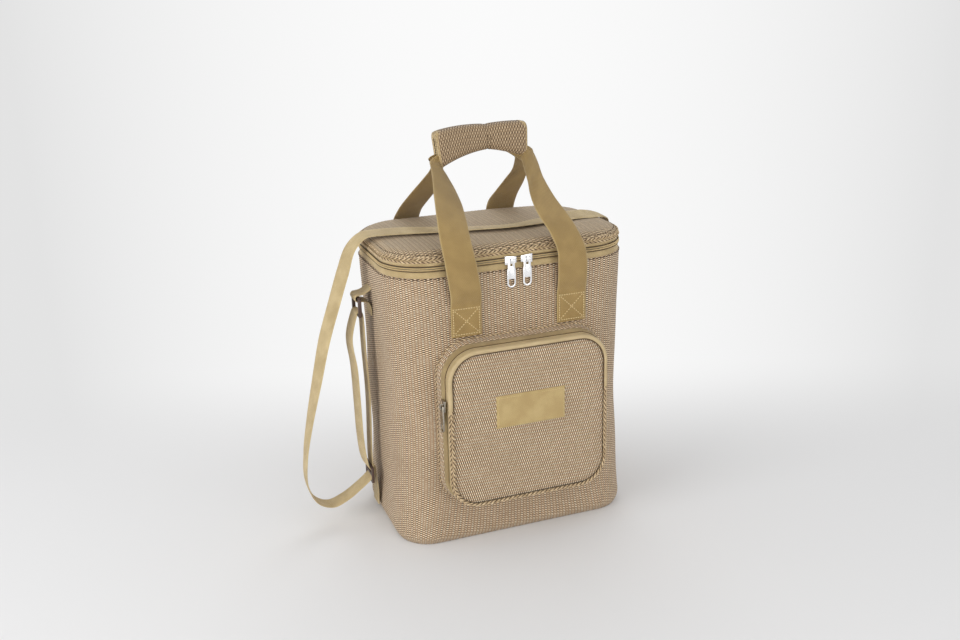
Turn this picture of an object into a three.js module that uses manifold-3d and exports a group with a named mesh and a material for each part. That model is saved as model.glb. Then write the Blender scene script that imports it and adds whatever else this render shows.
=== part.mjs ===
// Woven cooler bag: an insulated soft box with a zipped lid, a zipped front pocket, two carrying
// handles joined by a padded grip, and a shoulder strap of webbing on two side rings.
// Millimetres, +Z up, front face towards -Y. The origin is the centre of the underside.
import * as THREE from "three";
import { mergeVertices } from "three/addons/utils/BufferGeometryUtils.js";
import Module from "manifold-3d";

const wasm = await Module();
wasm.setup();

// Body
const BODY_WIDTH = 308;
const BODY_DEPTH = 196;
const BODY_HEIGHT = 342;
const CORNER_RADIUS = 58;
const CORNER_STEPS = 6;
const WAIST = 4;
const WAIST_HEIGHT = 150;
const BASE_ROUNDING = 6;
const BASE_ROUNDING_HEIGHT = 14;
const WOVEN = 2.5;
const FOAM = 6;
const BASE_FOAM = 8;
const LINER = 1;
const BINDING = 2;
const GAP = 0.3;

// Main zip
const TAPE = 1;
const TAPE_SHOWN = 8.6;
const TAPE_TUCKED = 8;
const COIL_HEIGHT = 1.3;
const COIL_DEPTH = 3.5;
const SLIDER_NECK = 1;

// Lid
const LID_INSET = 2;
const PIPING_RADIUS = 4;
const LID_FOAM = 9;
const LID_CROWN = 2.4;
const LID_CROWN_ROWS = [[0, 0], [14, 0.6], [36, 0.9], [46, 1]];
const BEAD_SIDES = 8;

// Front pocket
const POCKET_WIDTH = 200;
const POCKET_HEIGHT = 196;
const POCKET_BOTTOM = 62;
const POCKET_DEPTH = 28;
const POCKET_RADIUS = 35;
const POCKET_FLARE = 6;
const POCKET_CLOTH = 2;
const POCKET_PIPING_RADIUS = 3;
const POCKET_CROWN = 2.5;
const POCKET_CROWN_ROWS = [[0, 0], [15, 0.6], [30, 1]];
const POCKET_FOLD = 205;
const POCKET_ZIP_FOOT = 186;
const POCKET_ZIP_FROM_FRONT = 7;
const LABEL_WIDTH = 88;
const LABEL_HEIGHT = 41;
const LABEL_CENTRE = 179;
const LABEL = 1.2;
const LABEL_RADIUS = 1.5;

// Handles and grip. PATCH_TOP is how far below the hem the sewn ends stop, and GRIP_HEIGHT how far above
// the hem the grip's middle is.
const WEBBING_WIDTH = 38;
const WEBBING = 2.4;
const HANDLE_SPACING = 134;
const PATCH_TOP = 37;
const PATCH_HEIGHT = 36.5;
const GRIP_LENGTH = 108;
const GRIP_SHIFT = -9;
const GRIP_HEIGHT = 139.5;
const GRIP_DROOP = 9;
const GRIP_LEAN = 2.5;
const GRIP_SLANT = 7;
const GRIP_PAD = 4.5;
const GRIP_HALF_WAIST = 11.8;
const GRIP_HALF_END = 17.5;
const GRIP_HALF_DEPTH = 7.2;
const GRIP_SEAM = 3;
const GRIP_ROUND = 8;
const GRIP_STEPS = 8;
const GRIP_SLACK = 0.6;
const STRAIGHT_AT_GRIP_END = [4, -4];

// Zip sliders and pulls
const SLIDER_LENGTH = 14.5;
const SLIDER_WIDTH = 10.5;
const SLIDER_PLATE = 2.5;
const SLIDER_CLEARANCE = 0.5;
const SLIDER_REST = 10;
const SLIDER_TAPER = 0.72;
const NECK_SETBACK = 2;
const BRIDGE_POST = 1.6;
const BRIDGE_REACH = 2.8;
const BRIDGE_WIDTH = 2;
const BRIDGE_SPAN = 6.6;
const PULL = 1.4;
const PULL_WIDTH = 11;
const PULL_LENGTH = 34;
const PULL_EYE = 6.6;
const PULL_BAR = 1.3;
const PULL_EYE_HALF = 3.2;
const PULL_SHOULDER = 4;
const PULL_RIM = 2;
const PULL_WINDOW = 5;
const PULL_SLACK = 0.5;
const POCKET_COIL = 1.2;
const POCKET_SLIDER_HEIGHT = 194;

// Side tabs, rings and shoulder strap
const STRAP_WIDTH = 25;
const STRAP = 1.8;
const SIDE_Y = 12;
const FOLD_BOW = 9;
const FOLD_SAG = 3;
const RING_STANDOFF = 15;
const RING_TOP = 299;
const RING_BAR = 4;
const RING_WIDTH = 35;
const RING_HEIGHT = 25;
const TAB_TOP = 323;
const TAB = 2;
const ADJUSTER_STANDOFF = 12;
const ADJUSTER_HEIGHT = 63;
const ADJUSTER_TALL = 22;
const ADJUSTER_WIDTH = 33;
const ADJUSTER = 3;
const ADJUSTER_BAR = 3;
const FRAME_RADIUS = 2.5;
const WINDOW_RADIUS = 1;

const halfWidth = BODY_WIDTH / 2;
const halfDepth = BODY_DEPTH / 2;
const Z = new THREE.Vector3(0, 0, 1);

const colours = {
  weave: { color: 0xb09678, roughness: 0.85, metalness: 0 },
  webbing: { color: 0xa58c5f, roughness: 0.8, metalness: 0 },
  strap: { color: 0xc8b487, roughness: 0.8, metalness: 0 },
  tape: { color: 0xb4a07d, roughness: 0.85, metalness: 0 },
  coil: { color: 0x6e604a, roughness: 0.5, metalness: 0 },
  foam: { color: 0xe8e6e0, roughness: 0.9, metalness: 0 },
  foil: { color: 0xc9ccd0, roughness: 0.35, metalness: 0.6 },
  metal: { color: 0xd0d2d4, roughness: 0.2, metalness: 1 },
  plastic: { color: 0x4b3730, roughness: 0.45, metalness: 0 },
  label: { color: 0xbea56e, roughness: 0.7, metalness: 0 },
};

const bag = new THREE.Group();

function place(name, geometry, finish, parent = bag) {
  const mesh = new THREE.Mesh(geometry, new THREE.MeshStandardMaterial(colours[finish]));
  mesh.name = name;
  parent.add(mesh);
  return mesh;
}

// A closed solid from sections with the same number of points, each a closed loop of Vector3.
// An open run is capped, from the flat shape of its first and last loop when that isn't convex.
function loft(sections, { closed = false, capShape = null } = {}) {
  const count = sections[0].length;
  const positions = sections.flat().flatMap((p) => [p.x, p.y, p.z]);
  const index = [];
  const spans = closed ? sections.length : sections.length - 1;
  for (let s = 0; s < spans; s++) {
    const here = s * count;
    const there = ((s + 1) % sections.length) * count;
    for (let i = 0; i < count; i++) {
      const j = (i + 1) % count;
      index.push(here + i, here + j, there + j, here + i, there + j, there + i);
    }
  }
  if (!closed) {
    const last = (sections.length - 1) * count;
    const fan = Array.from({ length: count - 2 }, (_, i) => [0, i + 1, i + 2]);
    const cap = capShape ? capFaces(capShape) : fan;
    for (const [a, b, c] of cap) {
      index.push(a, c, b);
      index.push(last + a, last + b, last + c);
    }
  }
  const geometry = new THREE.BufferGeometry();
  geometry.setAttribute("position", new THREE.Float32BufferAttribute(positions, 3));
  geometry.setIndex(index);
  return facingOut(geometry);
}

// The triangles of a flat loop, turning the same way round as the loop itself.
function capFaces(shape) {
  const faces = THREE.ShapeUtils.triangulateShape(shape, []);
  const [a, b, c] = faces[0].map((i) => shape[i]);
  const sameWay = THREE.ShapeUtils.isClockWise([a, b, c]) === THREE.ShapeUtils.isClockWise(shape);
  return sameWay ? faces : faces.map(([i, j, k]) => [i, k, j]);
}

function facingOut(geometry) {
  const p = geometry.getAttribute("position");
  const index = geometry.getIndex().array;
  const [a, b, c] = [new THREE.Vector3(), new THREE.Vector3(), new THREE.Vector3()];
  let volume = 0;
  for (let i = 0; i < index.length; i += 3) {
    a.fromBufferAttribute(p, index[i]);
    b.fromBufferAttribute(p, index[i + 1]);
    c.fromBufferAttribute(p, index[i + 2]);
    volume += a.dot(b.cross(c));
  }
  if (volume < 0) geometry.setIndex(Array.from(index).reverse());
  return geometry;
}

// Boolean joins and cuts
function solid(geometry) {
  const bare = new THREE.BufferGeometry();
  bare.setAttribute("position", geometry.getAttribute("position"));
  if (geometry.getIndex()) bare.setIndex(geometry.getIndex());
  const merged = mergeVertices(bare, 1e-4);
  const vertProperties = merged.getAttribute("position").array;
  const triVerts = new Uint32Array(merged.getIndex().array);
  return new wasm.Manifold(new wasm.Mesh({ numProp: 3, vertProperties, triVerts }));
}

function geometryOf(made) {
  const mesh = made.getMesh();
  const geometry = new THREE.BufferGeometry();
  geometry.setAttribute("position", new THREE.BufferAttribute(mesh.vertProperties, 3));
  geometry.setIndex(new THREE.BufferAttribute(mesh.triVerts, 1));
  return geometry;
}

function block(low, high) {
  const size = high.map((v, i) => v - low[i]);
  const centre = high.map((v, i) => (v + low[i]) / 2);
  return solid(new THREE.BoxGeometry(...size).translate(...centre));
}

function keepWithin(geometry, low, high) {
  return geometryOf(solid(geometry).intersect(block(low, high)));
}

// A rounded rectangle about the origin, anticlockwise from the corner at +x, -y.
function roundedRectangle(halfX, halfY, radius, steps = CORNER_STEPS) {
  const corners = [
    [1, -1, -90],
    [1, 1, 0],
    [-1, 1, 90],
    [-1, -1, 180],
  ];
  return corners.flatMap(([sx, sy, start]) =>
    Array.from({ length: steps + 1 }, (_, i) => {
      const angle = THREE.MathUtils.degToRad(start + (90 * i) / steps);
      const x = sx * (halfX - radius) + radius * Math.cos(angle);
      const y = sy * (halfY - radius) + radius * Math.sin(angle);
      return new THREE.Vector2(x, y);
    }),
  );
}

// The bag's plan outline at a height: drawn in at the waist on both sides and rounded at the base.
function planOutline(inset, z) {
  const rise = z < WAIST_HEIGHT ? z / WAIST_HEIGHT : (BODY_HEIGHT - z) / (BODY_HEIGHT - WAIST_HEIGHT);
  const waist = WAIST * Math.sin((Math.PI / 2) * Math.max(0, rise));
  const base = BASE_ROUNDING * Math.max(0, 1 - z / BASE_ROUNDING_HEIGHT) ** 2;
  const all = inset + base;
  return roundedRectangle(halfWidth - all - waist, halfDepth - all, CORNER_RADIUS - all);
}

// Sweeps a radial section, a loop of [inset, height], round the plan outline or part of it.
function aroundPlan(section, from = 0, to = null) {
  const rings = section.map(([inset, z]) => ringAt(inset, z));
  const count = rings[0].length;
  const length = to === null ? count : to - from + 1;
  const stops = Array.from({ length }, (_, i) => (from + i) % count);
  const sections = stops.map((i) => rings.map((ring) => ring[i]));
  return loft(sections, { closed: to === null });
}

// Heights at which every tall wall follows the waist and the rounded base, so layers stay parallel.
function wallHeights(low, high) {
  const liner = [linerFloor, linerFloor + LINER];
  const base = [WOVEN + GAP, BASE_ROUNDING_HEIGHT / 2, ...liner, BASE_ROUNDING_HEIGHT];
  const waist = [WAIST_HEIGHT / 2, WAIST_HEIGHT, (WAIST_HEIGHT + BODY_HEIGHT) / 2, tapeFoot - 2 * GAP];
  return [low, ...[...base, ...waist].filter((z) => z > low && z < high), high];
}

function wallSection(outer, inner, low, high) {
  const heights = wallHeights(low, high);
  const up = heights.map((z) => [outer, z]);
  const down = [...heights].reverse().map((z) => [inner, z]);
  return [...up, ...down];
}

function ringAt(inset, z, outlineHeight = z) {
  return planOutline(inset, outlineHeight).map((p) => new THREE.Vector3(p.x, p.y, z));
}

// A flat plate whose edge follows the plan outline at one inset.
function planPlate(inset, low, high) {
  return loft([ringAt(inset, low), ringAt(inset, high, low)]);
}

// The same with a top that is crowned towards the middle.
function crownedPlate(inset, low, high) {
  const rows = LID_CROWN_ROWS.map(([inwards, share]) => ringAt(inset + inwards, high + share * LID_CROWN));
  return loft([ringAt(inset, low), ...rows]);
}

// The sides of a piping bead, as [inwards, forwards] from its centre.
function beadSides(radius) {
  return Array.from({ length: BEAD_SIDES }, (_, i) => {
    const angle = (2 * Math.PI * i) / BEAD_SIDES;
    return [radius * Math.cos(angle), radius * Math.sin(angle)];
  });
}

// Heights and insets that the layers share
const baseFoamTop = WOVEN + GAP + BASE_FOAM;
const linerFloor = baseFoamTop + GAP;
const foamOuter = WOVEN + GAP;
const tapeOuter = WOVEN + GAP;
const tapeInner = tapeOuter + TAPE;
const rebate = tapeInner + GAP;
const foamInner = foamOuter + FOAM;
const linerOuter = foamInner + GAP;
const linerInner = linerOuter + LINER;
const tapeFoot = BODY_HEIGHT - TAPE_TUCKED;
const lowerTapeTop = BODY_HEIGHT + TAPE_SHOWN;
const lowerCoilTop = lowerTapeTop + GAP + COIL_HEIGHT;
const zipCentre = lowerCoilTop + GAP + SLIDER_NECK / 2;
const upperCoilFoot = zipCentre + SLIDER_NECK / 2 + GAP;
const upperTapeFoot = upperCoilFoot + COIL_HEIGHT + GAP;
const upperTapeTop = upperTapeFoot + TAPE_SHOWN + GAP;
const coilOuter = tapeOuter + TAPE / 2 - COIL_DEPTH / 2;
const pipingInset = LID_INSET + PIPING_RADIUS;
const pipingCentre = upperTapeTop + PIPING_RADIUS - GAP;
const lidEdge = LID_INSET + 2 * PIPING_RADIUS + GAP;
const lidFoamTop = pipingCentre + PIPING_RADIUS - WOVEN;
const lidTop = lidFoamTop + GAP + WOVEN;

// Woven outer wall, its base, the foam, the foil liner and the rim binding
function makeBody() {
  place("body_panel", aroundPlan(wallSection(0, WOVEN, 0, BODY_HEIGHT)), "weave");
  place("base_panel", planPlate(WOVEN + GAP, 0, WOVEN), "weave");
  place("foam_base", planPlate(WOVEN + GAP, WOVEN + GAP, baseFoamTop), "foam");

  const foamTop = BODY_HEIGHT - GAP;
  const heights = wallHeights(linerFloor, tapeFoot - 2 * GAP);
  const outside = heights.map((z) => [foamOuter, z]);
  const step = [[rebate, tapeFoot - GAP], [rebate, foamTop]];
  const inside = [...wallHeights(linerFloor, foamTop)].reverse().map((z) => [foamInner, z]);
  place("foam_wall", aroundPlan([...outside, ...step, ...inside]), "foam");

  const tub = solid(loft(wallHeights(linerFloor, foamTop).map((z) => ringAt(linerOuter, z))));
  const hollow = wallHeights(linerFloor + LINER, foamTop + LINER);
  const inner = solid(loft(hollow.map((z) => ringAt(linerInner, z))));
  place("liner_tub", geometryOf(tub.subtract(inner)), "foil");

  const bindingSection = [
    [rebate, BODY_HEIGHT],
    [rebate, BODY_HEIGHT + BINDING],
    [linerInner, BODY_HEIGHT + BINDING],
    [linerInner, BODY_HEIGHT],
  ];
  place("rim_binding", aroundPlan(bindingSection), "tape");
}

// The zip runs from one rear corner round the front to the other. A strip of cloth hinges the lid.
const zipStart = 2 * (CORNER_STEPS + 1);
const zipEnd = 6 * (CORNER_STEPS + 1) - 1;

function zipBand(outer, inner, low, high) {
  const section = [
    [outer, low],
    [outer, high],
    [inner, high],
    [inner, low],
  ];
  return aroundPlan(section, zipStart, zipEnd);
}

function makeMainZip(lid) {
  const coilInner = coilOuter + COIL_DEPTH;
  place("zip_tape_lower", zipBand(tapeOuter, tapeInner, tapeFoot, lowerTapeTop), "tape");
  place("zip_coil_lower", zipBand(coilOuter, coilInner, lowerTapeTop + GAP, lowerCoilTop), "coil");
  place("zip_coil_upper", zipBand(coilOuter, coilInner, upperCoilFoot, upperTapeFoot - GAP), "coil", lid);
  place("zip_tape_upper", zipBand(tapeOuter, tapeInner, upperTapeFoot, upperTapeTop), "tape", lid);

  const reach = halfWidth - CORNER_RADIUS - GAP;
  const back = halfDepth - tapeOuter;
  const front = halfDepth - tapeInner;
  const lower = block([-reach, front, tapeFoot], [reach, back, zipCentre - GAP]);
  const upper = block([-reach, front, zipCentre + GAP], [reach, back, upperTapeTop]);
  place("hinge_strip_lower", geometryOf(lower), "weave");
  place("hinge_strip_upper", geometryOf(upper), "weave", lid);
}

// Lid: a woven top on foam with a foil underside, edged by a woven piping bead
function makeLid() {
  const lid = new THREE.Group();
  bag.add(lid);
  const foamFoot = lidFoamTop - LID_FOAM;
  place("lid_panel", crownedPlate(lidEdge, lidFoamTop + GAP, lidTop), "weave", lid);
  place("lid_foam", planPlate(lidEdge, foamFoot, lidFoamTop), "foam", lid);
  place("lid_liner", planPlate(rebate, foamFoot - GAP - LINER, foamFoot - GAP), "foil", lid);
  const bead = beadSides(PIPING_RADIUS).map(([inwards, up]) => [pipingInset + inwards, pipingCentre + up]);
  place("lid_piping", aroundPlan(bead), "weave", lid);
  return lid;
}

// Front pocket: a gusset, a crowned front that folds forward at the top, piping and a zip
const pocketCentre = POCKET_BOTTOM + POCKET_HEIGHT / 2;
const pocketBack = -halfDepth - GAP;
const pocketFront = -halfDepth - POCKET_DEPTH;
const pocketZip = pocketFront + POCKET_ZIP_FROM_FRONT;

// A loop of the pocket outline, in at inset, on the plane y.
function pocketRing(inset, y) {
  const flare = Math.max(0, pocketFlare(y));
  const half = [POCKET_WIDTH / 2 - inset + flare, POCKET_HEIGHT / 2 - inset + flare];
  const points = roundedRectangle(...half, POCKET_RADIUS - inset + flare);
  return points.map((p) => new THREE.Vector3(p.x, y, pocketCentre + p.y));
}

// How much wider than its front the pocket is at y.
function pocketFlare(y) {
  return (POCKET_FLARE * (y - pocketFront)) / (pocketBack - pocketFront);
}

// A band swept round the pocket, from four or more loops of its outline.
function roundPocket(rings) {
  return loft(rings[0].map((_, i) => rings.map((ring) => ring[i])), { closed: true });
}

function pocketBand(outer, inner, near, far) {
  const outside = [pocketRing(outer, near), pocketRing(outer, far)];
  const inside = [pocketRing(inner, far), pocketRing(inner, near)];
  return roundPocket([...outside, ...inside]);
}

function makePocket(flap) {
  const wide = BODY_WIDTH;
  const above = (z) => [[-wide, pocketFront - wide, z], [wide, 0, BODY_HEIGHT]];
  const below = (z) => [[-wide, pocketFront - wide, 0], [wide, 0, z]];
  const edge = pocketFront + GAP;
  const inner = pocketZip + SLIDER_NECK / 2 + GAP;
  const outer = pocketZip - SLIDER_NECK / 2 - GAP;

  const whole = solid(pocketBand(0, POCKET_CLOTH, pocketBack, edge));
  const zipGap = block([-wide, outer, POCKET_ZIP_FOOT], [wide, inner + TAPE + GAP, BODY_HEIGHT]);
  const flapPart = block([-wide, pocketFront - wide, POCKET_FOLD], [wide, outer + GAP, BODY_HEIGHT]);
  place("pocket_gusset", geometryOf(whole.subtract(zipGap).subtract(flapPart)), "weave");

  const innerTape = pocketBand(0, POCKET_CLOTH, inner + TAPE, inner);
  place("pocket_zip_tape_inner", keepWithin(innerTape, ...above(POCKET_ZIP_FOOT + GAP)), "tape");
  const outerTape = pocketBand(0, POCKET_CLOTH, outer, edge);
  place("pocket_zip_tape_outer", keepWithin(outerTape, ...above(POCKET_FOLD + GAP)), "tape", flap);

  const beadInset = POCKET_PIPING_RADIUS / 3;
  const beadFront = pocketFront - POCKET_PIPING_RADIUS;
  const bead = beadSides(POCKET_PIPING_RADIUS);
  const beadRing = ([inwards, back]) => pocketRing(beadInset + inwards, beadFront + back);
  const piping = roundPocket(bead.map(beadRing));
  place("pocket_piping_lower", keepWithin(piping, ...below(POCKET_FOLD)), "weave");
  place("pocket_piping_upper", keepWithin(piping, ...above(POCKET_FOLD + GAP)), "weave", flap);

  const panelInset = beadInset + POCKET_PIPING_RADIUS + GAP;
  const panelBack = pocketFront - GAP;
  const panelEdge = panelBack - WOVEN;
  const crown = POCKET_CROWN_ROWS.map(([inwards, share]) =>
    pocketRing(panelInset + inwards, panelEdge - share * POCKET_CROWN),
  );
  const panel = loft([pocketRing(panelInset, panelBack), ...crown]);
  place("pocket_front_lower", keepWithin(panel, ...below(POCKET_FOLD)), "weave");
  place("pocket_front_upper", keepWithin(panel, ...above(POCKET_FOLD + GAP)), "weave", flap);

  const labelShape = new THREE.Shape(roundedRectangle(LABEL_WIDTH / 2, LABEL_HEIGHT / 2, LABEL_RADIUS, 2));
  const label = new THREE.ExtrudeGeometry(labelShape, { depth: LABEL, bevelEnabled: false });
  label.rotateX(Math.PI / 2);
  label.translate(0, panelEdge - POCKET_CROWN - GAP, LABEL_CENTRE);
  place("label_patch", label, "label");
}

// A ribbon of webbing along rows of { at, wide, width, thick }, smooth between the rows.
function ribbon(rows, stepsPerSpan) {
  const curve = new THREE.CatmullRomCurve3(rows.map((row) => row.at), false, "centripetal");
  const spans = rows.length - 1;
  const sections = [];
  for (let k = 0; k <= spans * stepsPerSpan; k++) {
    const row = Math.min(Math.floor(k / stepsPerSpan), spans - 1);
    const share = k / stepsPerSpan - row;
    const at = curve.getPoint(k / (spans * stepsPerSpan));
    const along = curve.getTangent(k / (spans * stepsPerSpan));
    const wide = rows[row].wide.clone().lerp(rows[row + 1].wide, share);
    wide.addScaledVector(along, -wide.dot(along)).normalize();
    const through = new THREE.Vector3().crossVectors(along, wide);
    wide.multiplyScalar(THREE.MathUtils.lerp(rows[row].width, rows[row + 1].width, share) / 2);
    through.multiplyScalar(THREE.MathUtils.lerp(rows[row].thick, rows[row + 1].thick, share) / 2);
    sections.push([
      at.clone().add(wide).add(through),
      at.clone().sub(wide).add(through),
      at.clone().sub(wide).sub(through),
      at.clone().add(wide).sub(through),
    ]);
  }
  return loft(sections);
}

// Each handle leg rises from its sewn patch, bulges out past the lid, then leans in to the grip and is
// folded lengthways on the way. Rows: share of the way across to the grip, sideways sway, bulge outwards,
// share of the rise, turns of the width upwards and inwards in degrees, share of the width still open.
const LEG_ROWS = {
  front_left: [
    [0, 0, 0.3, 0, 0, 0, 1],
    [0, 0, 1.2, 0.025, 0, 0, 1],
    [0, -1, 4.8, 0.09, 0, 0, 1],
    [0, -5, 8.8, 0.218, 0, 0, 1],
    [0, -8, 9.5, 0.33, 4, 0, 1],
    [0.02, -11, 5.5, 0.478, 10, 0, 1],
    [0.12, -10, 0, 0.61, 17, 0, 1],
    [0.36, -7, 0, 0.72, 24, 0, 0.95],
    [0.62, -4.5, 0, 0.8, 30, 0, 0.68],
    [0.85, -6, 0, 0.865, 34, 0, 0.32],
    [0.95, -8.5, 0, 0.9, 36, 0, 0.05],
  ],
  front_right: [
    [0, 0, 0.3, 0, 0, 0, 1],
    [0, 0, 1.2, 0.025, 0, 0, 1],
    [0, -0.5, 4.8, 0.09, 0, 0, 1],
    [0, -2, 8.8, 0.218, 0, 0, 1],
    [0, -4.5, 9.5, 0.33, 4, 8, 1],
    [0.04, -13, 5.5, 0.478, 11, 20, 1],
    [0.16, -21, 0, 0.61, 20, 32, 1],
    [0.38, -19, 0, 0.72, 30, 38, 0.9],
    [0.62, -9, 0, 0.8, 36, 36, 0.63],
    [0.85, 5.5, 0, 0.865, 38, 26, 0.26],
    [0.95, 11.5, 0, 0.9, 38, 12, 0.05],
  ],
  rear_left: [
    [0, 0, 0.3, 0, 0, 0, 1],
    [0, 0, 1.2, 0.025, 0, 0, 1],
    [0, -1, 4.8, 0.09, 0, 0, 1],
    [0, -4, 8.8, 0.218, 0, 0, 1],
    [0.01, -7, 9, 0.33, 2, 8, 1],
    [0.12, -6, 4, 0.45, 8, 20, 1],
    [0.36, -1, 0, 0.585, 18, 30, 1],
    [0.58, 6, 0, 0.7, 27, 36, 0.9],
    [0.78, 7, 0, 0.79, 34, 36, 0.63],
    [0.92, -5, 0, 0.855, 38, 26, 0.26],
    [0.97, -12, 0, 0.9, 40, 12, 0.05],
  ],
  rear_right: [
    [0, 0, 0.3, 0, 0, 0, 1],
    [0, 0, 1.2, 0.025, 0, 0, 1],
    [0, -0.5, 4.8, 0.09, 0, 0, 1],
    [0, -3, 8.8, 0.218, 0, 0, 1],
    [0.01, -8, 9, 0.33, 2, 8, 1],
    [0.12, -8, 4, 0.45, 8, 20, 1],
    [0.36, -2, 0, 0.585, 18, 30, 1],
    [0.58, 4, 0, 0.7, 27, 36, 0.9],
    [0.78, 7, 0, 0.79, 34, 36, 0.63],
    [0.92, 9, 0, 0.855, 38, 26, 0.26],
    [0.97, 11.5, 0, 0.9, 40, 12, 0.05],
  ],
};

const foldedWidth = WEBBING_WIDTH / 2;
const foldedThick = 2 * WEBBING;
const foldedY = GRIP_HALF_DEPTH - GRIP_SLACK - foldedThick / 2;
const patchTop = BODY_HEIGHT - PATCH_TOP;
const gripEnd = { right: GRIP_SHIFT + GRIP_LENGTH / 2, left: GRIP_SHIFT - GRIP_LENGTH / 2 };
const patchOuter = halfDepth + GAP + WEBBING;

function gripArch(x) {
  const share = (x - GRIP_SHIFT) / (GRIP_LENGTH / 2);
  return BODY_HEIGHT + GRIP_HEIGHT - GRIP_DROOP * share ** 2 + GRIP_LEAN * share;
}

function legRows(end, side) {
  const front = end === "front" ? -1 : 1;
  const out = side === "right" ? 1 : -1;
  const patchX = (out * HANDLE_SPACING) / 2;
  const foot = patchTop + 2 * GAP;
  return LEG_ROWS[`${end}_${side}`].map(([across, sway, bulge, rise, up, inwards, open]) => {
    const x = patchX + sway + across * (gripEnd[side] - patchX);
    const y = front * (THREE.MathUtils.lerp(patchOuter - WEBBING / 2, foldedY, across) + bulge);
    const z = THREE.MathUtils.lerp(foot, gripArch(gripEnd[side]), rise);
    const lift = THREE.MathUtils.degToRad(up);
    const turn = THREE.MathUtils.degToRad(inwards);
    const level = new THREE.Vector3(out * Math.cos(turn), -front * Math.sin(turn), 0);
    const wide = level.multiplyScalar(Math.cos(lift)).addScaledVector(Z, Math.sin(lift));
    const width = THREE.MathUtils.lerp(foldedWidth, WEBBING_WIDTH, open);
    const thick = THREE.MathUtils.lerp(foldedThick, WEBBING, open);
    return { at: new THREE.Vector3(x, y, z), wide, width, thick };
  });
}

function handleStrap(end) {
  const y = (end === "front" ? -1 : 1) * foldedY;
  const quarters = [0.25, 0.5, 0.75].map((share) => -share * GRIP_LENGTH);
  const atLeftEnd = STRAIGHT_AT_GRIP_END.map((shift) => -GRIP_LENGTH - shift).reverse();
  const inGrip = [...STRAIGHT_AT_GRIP_END, ...quarters, ...atLeftEnd];
  const run = inGrip.map((shift) => {
    const x = gripEnd.right + shift;
    const at = new THREE.Vector3(x, y, gripArch(x));
    return { at, wide: Z.clone(), width: foldedWidth, thick: foldedThick };
  });
  const left = legRows(end, "left").reverse();
  return ribbon([...legRows(end, "right"), ...run, ...left], 2);
}

// One leaf of the grip's padded wrap: half a rounded tube from the seam round to the far side.
function gripLeaf(side, seam) {
  const radius = { outer: GRIP_ROUND, inner: GRIP_ROUND - GRIP_PAD };
  const outline = (halfY, halfZ, r) => {
    const arc = (sign, from, to) =>
      Array.from({ length: 5 }, (_, i) => {
        const angle = THREE.MathUtils.degToRad(from + ((to - from) * i) / 4);
        return [side * (halfY - r + r * Math.cos(angle)), sign * (halfZ - r) + r * Math.sin(angle)];
      });
    return [[seam, halfZ], ...arc(1, 90, 0), ...arc(-1, 0, -90), [seam, -halfZ]];
  };
  const sections = [];
  for (let i = 0; i <= GRIP_STEPS; i++) {
    const x = gripEnd.left + (GRIP_LENGTH * i) / GRIP_STEPS;
    const share = Math.abs((2 * i) / GRIP_STEPS - 1) ** 2;
    const halfZ = THREE.MathUtils.lerp(GRIP_HALF_WAIST, GRIP_HALF_END, share);
    const outside = outline(GRIP_HALF_DEPTH + GRIP_PAD, halfZ + GRIP_PAD, radius.outer);
    const inside = outline(GRIP_HALF_DEPTH, halfZ, radius.inner).reverse();
    const slant = Math.max(0, 1 - (2 * i) / GRIP_STEPS) * Math.tan(THREE.MathUtils.degToRad(GRIP_SLANT));
    const section = [...outside, ...inside];
    sections.push(section.map(([y, z]) => new THREE.Vector3(x - slant * z, y, gripArch(x) + z)));
  }
  const capShape = sections[0].map((p) => new THREE.Vector2(p.y, p.z));
  return loft(sections, { capShape });
}

function makeHandles() {
  for (const end of ["front", "rear"]) {
    const front = end === "front" ? -1 : 1;
    for (const side of ["left", "right"]) {
      const out = side === "right" ? 1 : -1;
      const x = (out * HANDLE_SPACING) / 2;
      const [near, far] = [front * (halfDepth + GAP), front * patchOuter].sort((a, b) => a - b);
      const low = [x - WEBBING_WIDTH / 2, near, patchTop - PATCH_HEIGHT];
      const high = [x + WEBBING_WIDTH / 2, far, patchTop];
      place(`handle_end_${end}_${side}`, geometryOf(block(low, high)), "webbing");
    }
    const handle = new THREE.Group();
    bag.add(handle);
    place(`${end}_handle_strap`, handleStrap(end), "webbing", handle);
    const leaf = end === "front" ? gripLeaf(-1, GRIP_SEAM - GAP) : gripLeaf(1, GRIP_SEAM + GAP);
    place(end === "front" ? "grip_wrap" : "grip_closing_leaf", leaf, "weave", handle);
  }
}

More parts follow.
